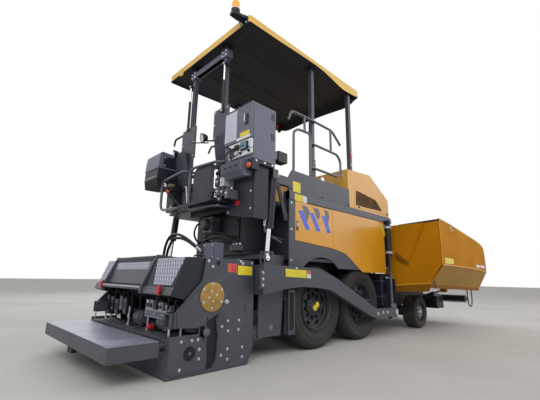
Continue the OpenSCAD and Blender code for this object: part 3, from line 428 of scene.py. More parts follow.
class Finish:
    """One material: its node tree, with what the patterns need."""

    def __init__(self, name):
        self.material = bpy.data.materials.new(name)
        self.material.use_nodes = True
        self.tree = self.material.node_tree
        self.tree.nodes.clear()

    def node(self, kind, settings=None, *values, out=0, **named):
        """Adds a node of that type: settings first, then values or links in order or by name."""
        node = self.tree.nodes.new(kind)
        for key, value in (settings or {}).items():
            setattr(node, key, value)
        pairs = [(node.inputs[i], v) for i, v in enumerate(values)]
        pairs += [(node.inputs[k.replace("_", " ")], v) for k, v in named.items()]
        for socket, value in pairs:
            if isinstance(value, Value):
                self.tree.links.new(value.socket, socket)
            else:
                socket.default_value = value
        return Value(self, node.outputs[out])

    @property
    def place(self):
        return self.node("ShaderNodeTexCoord", out="Object")

    def axes(self):
        """The three object coordinates as values."""
        split = self.node("ShaderNodeSeparateXYZ", None, self.place)
        return [Value(self, s) for s in split.socket.node.outputs]

    def upward(self):
        """How much a face looks up: 1 for a floor, 0 for a wall, -1 for a ceiling."""
        normal = self.node("ShaderNodeNewGeometry", out="Normal")
        return self.node("ShaderNodeSeparateXYZ", None, normal, out=2)

    def noise(self, scale, detail, rough=0.5, stretch=(1, 1, 1)):
        spot = self.node("ShaderNodeMapping", None, self.place, Scale=stretch)
        return self.node("ShaderNodeTexNoise", None, spot, Scale=scale, Detail=detail, Roughness=rough)

    def mix(self, factor, a, b):
        """Colour a where the factor is 0 and b where it is 1."""
        node = self.tree.nodes.new("ShaderNodeMix")
        node.data_type = "RGBA"
        for socket, value in ((node.inputs[0], factor), (node.inputs[6], a), (node.inputs[7], b)):
            if isinstance(value, Value):
                self.tree.links.new(value.socket, socket)
            else:
                socket.default_value = value if isinstance(value, (int, float)) else (*value, 1)
        return Value(self, node.outputs[2])

    def surface(self, base, rough, metal=0.0, coat=0.0, bump=None, glow=None, specular=0.5):
        """The Principled surface; bump is (height, depth in metres) and glow (colour, strength)."""
        named = {"Base_Color": base if isinstance(base, Value) else (*base, 1), "Roughness": rough,
            "Metallic": metal, "Coat_Weight": coat, "Specular_IOR_Level": specular}
        if bump:
            named["Normal"] = self.node("ShaderNodeBump", None, Height=bump[0], Distance=bump[1],
                Strength=1.0)
        if glow:
            named["Emission_Color"] = *glow[0], 1
            named["Emission_Strength"] = glow[1]
        self.close(self.node("ShaderNodeBsdfPrincipled", None, **named))
        return self.material

    def close(self, shader):
        end = self.tree.nodes.new("ShaderNodeOutputMaterial")
        self.tree.links.new(shader.socket, end.inputs[0])


def shaded(base, factor):
    return tuple(min(1.0, max(0.0, c * factor)) for c in base)


def paint(name, base, rough=0.38, coat=0.0, dust=0.35, spread=0.05, specular=0.5):
    """Sprayed paint: slow shade changes, dust on what faces up or lies low, fine orange peel."""
    f = Finish(name)
    film_colour = tuple(bpy.context.scene.paver_colours.dust)
    shade = f.noise(1.7, 4.0).step(0.3, 0.7)
    tone = f.mix(shade, shaded(base, 1 - 2 * spread), shaded(base, 1 + spread))
    grime = f.noise(5.0, 6.0, 0.65).step(0.42, 0.75)
    low = 1 - f.axes()[2].step(0.15, 1.1)
    film = (f.upward().step(0.3, 1.0) * 0.5 + low * 0.5) * dust * (0.35 + grime * 0.65)
    tone = f.mix(film.clamp(), tone, film_colour)
    marks = f.noise(38.0, 2.0, 0.5, (1.0, 1.0, 0.15)).step(0.7, 0.78) * grime * 0.25
    tone = f.mix(marks, tone, tuple(0.5 * c + 0.06 for c in base))
    peel = f.noise(260.0, 1.0)
    rough = (rough + film * 0.6 + grime * 0.06).clamp()
    return f.surface(tone, rough, coat=coat, bump=(peel, 0.00012), specular=specular)


def tread_plate(name, base, rough=0.3, metal=0.6):
    """Tread plate: short raised bars, turned a quarter from one cell to the next."""
    f = Finish(name)
    sizes = bpy.context.scene.paver_sizes
    x, y, z = f.axes()
    along = x - z
    u, v = (along + y) / sizes.chequer, (along - y) / sizes.chequer
    odd = ((u.floor() + v.floor()) * 0.5).fract() > 0.25
    p, q = (u.fract() - 0.5).size(), (v.fract() - 0.5).size()
    first = (p * 3.2).most(q * 1.15)
    second = (q * 3.2).most(p * 1.15)
    bar = 1 - (first * odd + second * (1 - odd)).step(0.36, 0.5)
    grime = f.noise(4.0, 5.0, 0.6).step(0.35, 0.75)
    tone = f.mix(bar * 0.9, shaded(base, 0.7), tuple(min(1, 2.2 * c + 0.1) for c in base))
    tone = f.mix(grime * (1 - bar) * 0.35, tone, tuple(bpy.context.scene.paver_colours.dust))
    return f.surface(tone, (rough + grime * 0.2 - bar * 0.08).clamp(), metal=metal, bump=(bar, 0.0018))


def rubber(name, base, dust=0.5):
    """Tyre rubber with a dry film of road dust that lies thicker low down and in patches."""
    f = Finish(name)
    grime = f.noise(7.0, 5.0, 0.6).step(0.35, 0.75)
    fine = f.noise(90.0, 3.0, 0.6)
    low = 1 - f.axes()[2].step(0.0, 0.45)
    film = (grime * 0.45 + low * 0.35) * dust
    tone = f.mix(film.clamp(), base, tuple(bpy.context.scene.paver_colours.dust))
    return f.surface(tone, 0.62 + grime * 0.2, bump=(fine, 0.0005), specular=0.35)


def steel(name, base, rough=0.32, metal=0.85, wear=0.4, scale=14.0):
    """Bare or worn steel: fine drawn lines, darker stains and small rust spots."""
    f = Finish(name)
    stain = f.noise(scale, 5.0, 0.65).step(0.4, 0.72)
    lines = f.noise(180.0, 2.0, 0.5, (0.15, 1.0, 1.0))
    tone = f.mix(stain * wear, base, shaded(base, 0.35))
    spots = f.noise(3.0 * scale, 3.0).step(0.66, 0.74) * wear * 0.7
    tone = f.mix(spots, tone, tuple(bpy.context.scene.paver_colours.rust))
    return f.surface(tone, (rough + stain * 0.25).clamp(), metal=metal, bump=(lines, 0.0002))


def plain(name, base, rough=0.4, metal=0.0, coat=0.0, fine=120.0, depth=0.0002, spread=0.08, glow=None):
    """Moulded plastic, glass, cast or plated pieces: a fine grain and a slight shade change."""
    f = Finish(name)
    shade = f.noise(9.0, 3.0).step(0.35, 0.65)
    tone = f.mix(shade, shaded(base, 1 - spread), shaded(base, 1 + spread))
    grain = f.noise(fine, 2.0)
    return f.surface(tone, (rough + grain * 0.08 - 0.04).clamp(), metal=metal, coat=coat,
        bump=(grain, depth), glow=glow)


def wire_mesh(name, base):
    """Woven wire sheet in X and Z: round wires, with painted shade in the square holes between them."""
    f = Finish(name)
    pitch = bpy.context.scene.paver_sizes.mesh
    x, _, z = f.axes()
    u, v = ((x / pitch).fract() - 0.5).size(), ((z / pitch).fract() - 0.5).size()
    wire = u.most(v).step(0.3, 0.38)
    stain = f.noise(6.0, 3.0).step(0.3, 0.7)
    tone = f.mix(stain, base, shaded(base, 0.6))
    # holes darkened to 0.12 of the wire colour: painted shade behind the mesh
    tone = f.mix(wire, shaded(base, 0.12), tone)
    return f.surface(tone, 0.6, bump=(wire, 0.002))


def finish_table(c):
    """Every finish by name; c holds the colours that the user set."""
    return {
        "yellow": (paint, c.yellow, dict(rough=0.33, coat=0.25, dust=0.18)),
        "hopper_yellow": (paint, c.hopper, dict(rough=0.6, dust=0.04, spread=0.07, specular=0.08)),
        # a paler tan copy of the hopper paint: painted light reflected up from the ground onto the wings'
        # lower sheets
        "hopper_low": (paint, "AE8542", dict(rough=0.6, dust=0.25, spread=0.07, specular=0.2)),
        # a dark amber copy of the hopper paint: painted shade on faces that slope down or lie underneath
        "hopper_shade": (paint, "8A5C10", dict(rough=0.55, dust=0.1, specular=0.2)),
        "hood_yellow": (paint, c.hood, dict(rough=0.35, coat=0.2, dust=0.2)),
        "canopy_yellow": (paint, c.canopy, dict(rough=0.42, dust=0.1)),
        "grey": (paint, c.grey, dict(rough=0.4, dust=0.22)),
        "dark": (paint, c.dark, dict(rough=0.42, dust=0.04, specular=0.35)),
        "chassis": (paint, c.chassis, dict(rough=0.5, dust=0.3)),
        "console": (paint, c.console, dict(rough=0.42, dust=0.12)),
        "rim": (paint, c.rim, dict(rough=0.38, dust=0.25)),
        "underside": (paint, "26262B", dict(rough=0.75, dust=0.0)),
        "tread_plate": (tread_plate, "969DB2", dict(rough=0.3, metal=0.35)),
        "tread_dark": (tread_plate, "4A4D58", dict(rough=0.4, metal=0.4)),
        # near-black sheets laid in holes, slots and recesses: painted shade where the real thing is open
        "void": (plain, "0B0C0F", dict(rough=0.8)),
        "tyre": (rubber, c.tyre, dict(dust=0.22)),
        "solid_tyre": (rubber, c.tyre, dict(dust=0.35)),
        "hose": (plain, "101114", dict(rough=0.45, fine=260.0)),
        "chrome": (plain, "D8DADF", dict(rough=0.12, metal=1.0, spread=0.03, depth=0.00002)),
        "bolt": (plain, "C9CBD1", dict(rough=0.28, metal=0.9, depth=0.00005)),
        "black_bolt": (plain, "2A2C33", dict(rough=0.4, metal=0.4)),
        "worn_steel": (steel, "8C8D92", dict(rough=0.35)),
        "rusty": (steel, "5A4636", dict(rough=0.7, metal=0.4, wear=0.8)),
        "cast": (steel, "6A6C72", dict(rough=0.55, metal=0.4, wear=0.5)),
        "bronze": (steel, "B08C4C", dict(rough=0.42, metal=0.55, wear=0.35, scale=20.0)),
        "grille": (wire_mesh, "9A6C2E", {}),
        "amber": (plain, "F2A31B", dict(rough=0.15, coat=0.6, glow=(linear("F2A31B"), 0.25))),
        "red": (plain, "C3202C", dict(rough=0.2, coat=0.6)),
        "orange_red": (plain, "D8543A", dict(rough=0.3, coat=0.4)),
        "blank_yellow": (plain, "EBD62A", dict(rough=0.4)),
        "blank_white": (plain, "E6E6E8", dict(rough=0.4)),
        "blue": (plain, c.blue, dict(rough=0.35, coat=0.3)),
        "stripe_grey": (plain, "3C4252", dict(rough=0.35, coat=0.3)),
        "glass": (plain, "D5D9DE", dict(rough=0.08, coat=0.8, spread=0.02)),
        "screen": (plain, "3D7F93", dict(rough=0.15, coat=0.5)),
        "black_plastic": (plain, "15161A", dict(rough=0.5)),
        "seat": (plain, "3F424C", dict(rough=0.7, fine=420.0, depth=0.0006)),
        "rail_grey": (plain, "4B505E", dict(rough=0.3, coat=0.4, spread=0.05)),
        "heat_steel": (steel, "5E544C", dict(rough=0.5, metal=0.6, wear=0.5)),
        "beige": (plain, "A79A78", dict(rough=0.5)),
        "label_sheet": (plain, "C9CBDA", dict(rough=0.35, spread=0.05)),
        "dull_silver": (plain, "B9BBC4", dict(rough=0.4, metal=0.3)),
    }


finishes_made = {}


def finish_named(name):
    """The material of that name, made the first time it is asked for."""
    if name not in finishes_made:
        maker, base, settings = finish_table(bpy.context.scene.paver_colours)[name]
        base = linear(base) if isinstance(base, str) else tuple(base)
        finishes_made[name] = maker(name, base, **settings)
    return finishes_made[name]


NODE_FINISH = {"hood": "hood_yellow", "grilles": "grille", "side": "yellow", "side_skirts": "grey",
    "service": "yellow", "hopper": "hopper_yellow", "wing_r": "hopper_yellow", "wing_l": "hopper_yellow",
    "canopy_roof": "canopy_yellow", "canopy_frame": "grey", "handrails": "dark", "console": "console",
    "seat": "dark", "rear": "dark", "chassis": "chassis", "drive": "chassis", "front_axle": "chassis",
    "push_beam": "dark", "push_rollers": "worn_steel", "conveyor": "worn_steel", "auger_frame": "grey",
    "auger": "worn_steel", "engine": "cast", "lamps": "amber", "deck": "grey", "tow_guides": "dark",
    "tow_slides": "rail_grey", "tow_pins": "bolt", "tow_arms": "grey", "screed": "dark",
    "extension": "grey", "knuckle": "grey", "tyre": "tyre", "rim": "rim", "front_tyre": "solid_tyre",
    "front_rim": "rim", "wing_barrel": "dark", "wing_rod": "chrome", "lift_barrel": "dark",
    "lift_rod": "chrome"}


def finish_of_node(node):
    """The longest name in the table that the node's name starts with."""
    return NODE_FINISH[max((key for key in NODE_FINISH if node.startswith(key)), key=len)]


class PAVER_OT_frame_finishes(bpy.types.Operator):
    """Finishes of the frame's own pieces"""

    bl_idname = "paver.frame_finishes"
    bl_label = "Frame finishes"

    def execute(self, context):
        for name in frame["nodes"]:
            for slot in bpy.data.objects[name].material_slots:
                slot.material = finish_named(finish_of_node(name))
        return {"FINISHED"}


# Shapes that several pieces share


def shell(upper, lower):
    """Two grids of points with the same rows and columns, closed along their edges."""
    rows, columns = upper.shape[:2]
    count = rows * columns
    quads = grid_faces(rows, columns)[0]
    ring = np.concatenate([np.arange(columns), np.arange(1, rows) * columns + columns - 1,
        (rows - 1) * columns + np.arange(columns - 2, -1, -1), np.arange(rows - 2, 0, -1) * columns])
    on = np.roll(ring, -1)
    walls = np.stack([ring, on, on + count, ring + count], 1)
    return (np.vstack([upper.reshape(-1, 3), lower.reshape(-1, 3)]),
        [quads, quads[:, ::-1] + count, walls])


def rounded_loop(a, b, radius, side, corner):
    """Closed outline of a rectangle with half sides a and b and round corners, as rows of two."""
    t = np.linspace(0, np.pi / 2, corner)
    rows = []
    for k, (sx, sy) in enumerate(((1, 1), (-1, 1), (-1, -1), (1, -1))):
        angle = t + k * np.pi / 2
        arc = np.stack([sx * (a - radius) + radius * np.cos(angle),
            sy * (b - radius) + radius * np.sin(angle)], 1)
        rows.append(arc)
    line = []
    for arc, after in zip(rows, rows[1:] + rows[:1]):
        span = np.linspace(0, 1, side, endpoint=False)[1:, None]
        line += [arc, arc[-1] + (after[0] - arc[-1]) * span]
    return np.vstack(line)


def rounded_plate(size, centre, thickness, radius, along="y"):
    """A flat plate with round corners; centre is its middle, size its two sides in X, Y, Z order."""
    loop = rounded_loop(size[0] / 2, size[1] / 2, radius, 2, 5)
    order = {"x": (1, 2, 0), "y": (0, 2, 1), "z": (0, 1, 2)}[along]
    loop = loop + (centre[order[0]], centre[order[1]])
    level = centre[order[2]]
    return prism(loop, level - thickness / 2, level + thickness / 2, along)


def widened(outline, width):
    """The outline moved outwards by the width, each corner along its mitre."""
    p = np.asarray(outline, float)
    ahead = np.roll(p, -1, 0) - p
    area = (p[:, 0] * np.roll(p[:, 1], -1) - p[:, 1] * np.roll(p[:, 0], -1)).sum()
    out = np.stack([ahead[:, 1], -ahead[:, 0]], 1) / np.linalg.norm(ahead, axis=1)[:,
        None] * np.sign(area)
    before = np.roll(out, 1, 0)
    return p + (out + before) * width / (1 + (out * before).sum(1))[:, None]


def frame_strip(inner, width, low, high, along="y"):
    """A flat strip round an opening: the inner outline, the widened one and the two levels."""
    rings = [prism(ring, low, high, along)[0] for ring in (inner, widened(inner, width))]
    n = len(inner)
    return (np.vstack([rings[0][:n], rings[1][:n], rings[1][n:], rings[0][n:]]),
        grid_faces(4, n, close_rows=True, close_columns=True))


def smooth_rail(points, bend):
    """Bent tube of a handrail."""
    return tube(round_bends(points, bend, 8), 0.017, 20)


def hose_between(points, radius):
    """A pressure hose through the points, with a crimped sleeve and a hexagon nut at each end."""
    line = smooth_line(points, 8)
    shapes = [tube(line, radius, 12)]
    for end, inner in ((line[0], line[1]), (line[-1], line[-2])):
        shapes.append(sleeve(end, inner, radius))
    return shapes


def sleeve(end, inner, radius):
    """Crimped sleeve and nut on a hose's end, along the hose's own direction there."""
    r = radius
    back = np.asarray(inner, float) - end
    return lathe([(0, -0.6 * r), (1.25 * r, -0.6 * r), (1.25 * r, 0.9 * r), (0.9 * r, 1 * r),
        (0.9 * r, 1.3 * r), (1.3 * r, 1.5 * r), (1.3 * r, 2 * r), (1.2 * r, 2.1 * r), (1.3 * r, 2.2 * r),
        (1.3 * r, 3.6 * r), (1.1 * r, 4 * r), (0, 4 * r)], end, back, 12)


def bar(a, b, radius, sides):
    """Round bar between two points."""
    return tube([a, b], radius, sides)


def strap(points, width, thickness, across):
    """A flat strip bent along points; its width lies along the given direction."""
    p = np.asarray(points, float)
    w = np.asarray(across, float)
    w = w / np.linalg.norm(w) * width / 2
    ahead = np.gradient(p, axis=0)
    out = np.cross(ahead, w)
    out *= thickness / 2 / np.linalg.norm(out, axis=1)[:, None]
    upper = np.stack([p + out - w, p + out + w], 1)
    lower = np.stack([p - out - w, p - out + w], 1)
    return shell(upper, lower)


def bolts(places, axis, width=None, height=0.014):
    """Bolt heads at the places, standing out along the axis."""
    width = bpy.context.scene.paver_sizes.bolt if width is None else width
    return copies(hex_head(width, height), places, axis)


def softened(name, bevel, cut):
    """A copy of a frame piece, merged and flattened, with rounded edges; cut is (point, normal) of a cut."""
    source = frame["nodes"][name]
    mesh = source.data.copy()
    mesh.name = name + "_edged"
    work = bmesh.new()
    work.from_mesh(mesh)
    bmesh.ops.remove_doubles(work, verts=work.verts, dist=2e-05)
    if cut:
        every = work.verts[:] + work.edges[:] + work.faces[:]
        made = bmesh.ops.bisect_plane(work, geom=every, plane_co=cut[0], plane_no=cut[1],
            clear_outer=True)
        rim = [e for e in made["geom_cut"] if isinstance(e, bmesh.types.BMEdge)]
        bmesh.ops.edgenet_fill(work, edges=rim)
    bmesh.ops.dissolve_limit(work, angle_limit=math.radians(1.0), verts=work.verts, edges=work.edges)
    bmesh.ops.recalc_face_normals(work, faces=work.faces)
    work.to_mesh(mesh)
    work.free()
    mesh.materials.clear()
    mesh.materials.append(finish_named(finish_of_node(name)))
    mesh.polygons.foreach_set("use_smooth", np.ones(len(mesh.polygons), bool))
    mesh.set_sharp_from_angle(angle=math.radians(30))
    thing = bpy.data.objects.new(name + "_edged", mesh)
    bpy.context.scene.collection.objects.link(thing)
    round_edges(thing, bevel)
    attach(thing, source["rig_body"])
    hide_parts(name)
    return thing


def round_edges(thing, width, angle=40):
    """Rounds the edges that are sharper than the angle, in degrees."""
    modifier = thing.modifiers.new("edges", "BEVEL")
    modifier.width = width
    modifier.segments = 2
    modifier.limit_method = "ANGLE"
    modifier.angle_limit = math.radians(angle)
    modifier.harden_normals = True


class PAVER_OT_softened(bpy.types.Operator):
    """Rounds the edges of the frame's plates and boxes"""

    bl_idname = "paver.softened"
    bl_label = "Rounded frame edges"

    def execute(self, context):
        for name in SOFTENED:
            softened(name, SOFTENED[name], DECK_CUT if name == "deck" else None)
        return {"FINISHED"}


SOFTENED = {"hood": 0.008, "deck": 0.006, "canopy_frame": 0.006, "console_r": 0.008, "console_lid": 0.006,
    "hopper_base": 0.004, "push_beam": 0.005, "auger_frame": 0.005, "tow_guides": 0.003, "tow_arms": 0.01,
    "screed_frame": 0.006, "extension_r": 0.005, "extension_l": 0.005, "chassis": 0.005,
    "front_axle": 0.004, "drive_axles": 0.004, "tow_slides": 0.003}

DECK_CUT = (ORIGIN_X - 1.0, 0.89, 1.6), (-0.39, 0.18, 0.0)


# Wheels

DRIVE = {"radius": 0.48, "outer": 0.925, "inner": 0.645}


def wheel_centre(node):
    low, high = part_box(node)
    return (low.x + high.x) / 2 - ORIGIN_X, (low.z + high.z) / 2


def drive_tyre(x, z, side):
    """Tyre as radius(angle, profile): a crown with four wavy grooves and notched shoulders."""
    middle = (DRIVE["outer"] + DRIVE["inner"]) / 2
    depth = bpy.context.scene.paver_sizes.groove
    wall = np.array(mm(277.6, 100, 290, 116, 300, 119, 306, 117, 330, 130.5, 352, 137.2, 355, 139.2,
        361, 139.2, 364, 138.5, 392, 139.8, 412, 138.5, 416, 140.2, 424, 140, 428, 137.2, 444, 130,
        456, 122.5))
    ribs = np.array([0.014, 0.024, 0.062, 0.073])
    crown_y = np.sort(np.concatenate([[0.1165, 0.109, 0.1], ribs - 0.0005, ribs + 0.0005,
        [0.043, 0.0]]))[::-1]
    in_groove = (crown_y > 0.0139) & (crown_y < 0.0241) | (crown_y > 0.0619) & (crown_y < 0.0731)
    crown_r = DRIVE["radius"] - 0.9 * crown_y**2 - np.where(crown_y > 0.105, 0.006, 0)
    crown_r = np.where(in_groove & np.isin(np.round(crown_y, 4),
        np.round(np.array([0.0145, 0.0235, 0.0625, 0.0725]), 4)), crown_r - depth, crown_r)
    half_r = np.concatenate([wall[:, 0], crown_r[:-1]])
    half_y = np.concatenate([wall[:, 1], crown_y[:-1]])
    radius = np.concatenate([half_r, crown_r[-1:], half_r[::-1]])
    along = np.concatenate([half_y, [0.0], -half_y[::-1]])
    turns, pitches = 416, 52
    angle = np.linspace(0, 2 * np.pi, turns, endpoint=False)
    wave = 0.004 * (2 * abs(angle * pitches / 2 / (2 * np.pi) % 1 * 2 - 1) - 1)
    phase = np.arange(turns) * pitches / turns % 1
    notch = (phase < 0.2).astype(float)
    crown = (radius > 0.44) & (abs(along) < 0.1)
    shoulder = (radius > 0.43) & (abs(along) > 0.08)
    r = radius[None] - notch[:, None] * shoulder[None] * 0.01
    y = along[None] + wave[:, None] * crown[None]
    points = np.stack([x + r * np.cos(angle)[:, None], side * (middle + y),
        z + r * np.sin(angle)[:, None]], -1)
    return (points.reshape(-1, 3), grid_faces(turns, len(radius), close_rows=True, close_columns=True))


def disc_relief(x, z, side, profile, relief, turns=240):
    """Disc as y(angle, radius): a turned profile of (radius, y) whose points a mask pushes inwards."""
    radius, y = np.asarray(profile, float).T
    angle = np.linspace(0, 2 * np.pi, turns, endpoint=False)
    depth = y[None] - relief(angle[:, None], radius[None])
    points = np.stack([x + radius * np.cos(angle)[:, None], side * depth,
        z + radius * np.sin(angle)[:, None]], -1)
    return points.reshape(-1, 3), grid_faces(turns, len(radius), close_rows=True)


def refine(profile, step=0.006):
    """The same profile with points no further apart than the step."""
    p = np.asarray(profile, float)
    rows = [p[:1]]
    for a, b in zip(p[:-1], p[1:]):
        n = max(1, int(np.ceil(np.linalg.norm(b - a) / step)))
        rows.append(a + (b - a) * np.linspace(0, 1, n + 1)[1:, None])
    return np.vstack(rows)


def hand_holes(angle, radius):
    """Pockets of eight rounded slots between the rim and the nuts."""
    turn = angle * 8 / (2 * np.pi) % 1 - 0.5
    across = turn * 2 * np.pi / 8 * radius / 0.036
    out = (radius - 0.207) / 0.023
    return 0.055 * np.clip((1.0 - np.hypot(across, out)) * 6, 0, 1)


class PAVER_OT_drive_wheels(bpy.types.Operator):
    """Tyres and rims of the four drive wheels"""

    bl_idname = "paver.drive_wheels"
    bl_label = "Drive wheels"

    def execute(self, context):
        for place in ("rear", "mid"):
            for letter, side in SIDES:
                body = f"wheel_{place}_{letter}"
                x, z = wheel_centre(f"rim_{place}_{letter}")
                tyre = Piece(f"road_tyre_{place}_{letter}", body)
                tyre.add(drive_tyre(x, z, side), "tyre")
                tyre.build(f"tyre_{place}_{letter}")
                rim = Piece(f"dished_rim_{place}_{letter}", body)
                axis = 0, side, 0
                dish = refine(mm(150, 838, 160, 836, 236, 838, 248, 848))
                rim.add(disc_relief(x, z, side, dish, hand_holes), "rim")
                rim.add(lathe([(0.248, 0.848), (0.252, 0.862), (0.254, 0.876), (0.26, 0.88),
                    (0.262, 0.893), (0.266, 0.901), (0.2715, 0.9045), (0.2765, 0.904), (0.2772, 0.898),
                    (0.274, 0.884), (0.27, 0.8), (0.27, 0.7), (0.2765, 0.672), (0.2765, 0.667),
                    (0.262, 0.667), (0.258, 0.69), (0.255, 0.78), (0.15, 0.79), (0.0462, 0.79),
                    (0.0462, 0.835), (0.15, 0.838)], (x, 0, z), axis, 96), "rim")
                for turn in (1, -1):
                    lobe = x + turn * 0.021, 0, z + turn * 0.017
                    rim.turned("blank_yellow", lobe, axis, 32, 0, 903, 26, 903, 33, 899, 35, 885, 35, 872,
                        0, 872)
                rim.turned("rim", (x, 0, z), axis, 64, 0, 886, 62, 886, 68, 880, 76, 872, 110, 864,
                    118, 856, 121, 836, 0, 836)
                for radius, y, width, height in ((0.1375, 0.838, 0.032, 0.03),
                        (0.092, 0.867, 0.014, 0.01)):
                    spots = circle(10, (x, side * y, z), radius, start=0.2)
                    rim.add(bolts(spots, axis, width, height), "black_bolt")
                rim.add(bar((x + 0.235, side * 0.846, z + 0.03), (x + 0.25, side * 0.892, z + 0.03),
                    0.005, 8), "bolt")
                rim.build(f"rim_{place}_{letter}")
        return {"FINISHED"}


class PAVER_OT_front_wheels(bpy.types.Operator):
    """Solid front tyres with their rims"""

    bl_idname = "paver.front_wheels"
    bl_label = "Front wheels"

    def execute(self, context):
        for letter, side in SIDES:
            x, z = wheel_centre(f"front_rim_{letter}")
            axis = 0, side, 0
            tyre = Piece(f"solid_tyre_{letter}", f"wheel_front_{letter}")
            half = mm(178.5, 100, 186, 108, 196, 111.5, 220, 114.5, 224, 112.5, 229, 112.5, 233, 114.5,
                250, 112, 262, 105, 269, 94, 271.5, 80, 272, 40)
            ring = half + [(r, -y) for r, y in half[::-1]] + [half[0]]
            tyre.add(lathe([(r, 0.855 + y) for r, y in ring], (x, 0, z), axis, 96), "solid_tyre")
            tyre.build(f"front_tyre_{letter}")
            rim = Piece(f"front_wheel_disc_{letter}", f"wheel_front_{letter}")
            rim.add(lathe([(0.0462, 0.746), (0.1775, 0.746), (0.1775, 0.964), (0.172, 0.9645),
                (0.166, 0.96), (0.16, 0.935), (0.15, 0.925), (0.112, 0.925), (0.108, 0.93), (0.104, 0.93),
                (0.0462, 0.93), (0.0462, 0.746)], (x, 0, z), axis, 72), "rim")
            rim.turned("dull_silver", (x, 0, z), axis, 40, 0, 966, 30, 966, 44, 960, 50, 948, 52, 930.2,
                0, 930.2)
            rim.bolts(circle(8, (x, side * 0.93, z), 0.082), axis, 0.026, 0.02)
            rim.build(f"front_rim_{letter}")
        return {"FINISHED"}


# Canopy

ROOF = {"middle": -0.0355, "a": 1.1855, "b": 0.923, "radius": 0.03, "top": 3.805, "under": 3.742}
CREASES = -0.62, -0.42, 0.12, 0.4


def rim_bottom(x, y):
    """Height of the rim's lower edge: a wave along the sides and a lower one along the front."""
    wave_x = np.array([-1.3, -1.221, -0.7, -0.3, 0.0, 0.2, 0.4, 0.6, 0.75, 0.95, 1.15, 1.3])
    wave_z = np.array([3.703, 3.703, 3.714, 3.73, 3.738, 3.729, 3.697, 3.655, 3.645, 3.662, 3.69, 3.7])
    fine = np.linspace(-1.3, 1.3, 261)
    rough = np.interp(fine, wave_x, wave_z)
    kernel = np.hanning(23)
    smooth = np.convolve(np.pad(rough, 11, mode="edge"), kernel / kernel.sum(), "valid")
    along = np.interp(x, fine, smooth)
    across = np.interp(abs(y), (0.0, 0.25, 0.45, 0.62, 0.7, 0.78, 0.86, 0.9, 0.93),
        (3.625, 3.623, 3.612, 3.602, 3.612, 3.642, 3.68, 3.692, 3.696))
    front = np.clip((x - 1.11) / 0.03, 0, 1)
    return along * (1 - front) + across * front


def roof_point(loop, k, z):
    """Point of the loop drawn towards the roof's middle by k, at height z."""
    x = ROOF["middle"] + loop[None, :, 0] * k
    y = loop[None, :, 1] * k
    return np.stack(np.broadcast_arrays(x, y, z), -1)


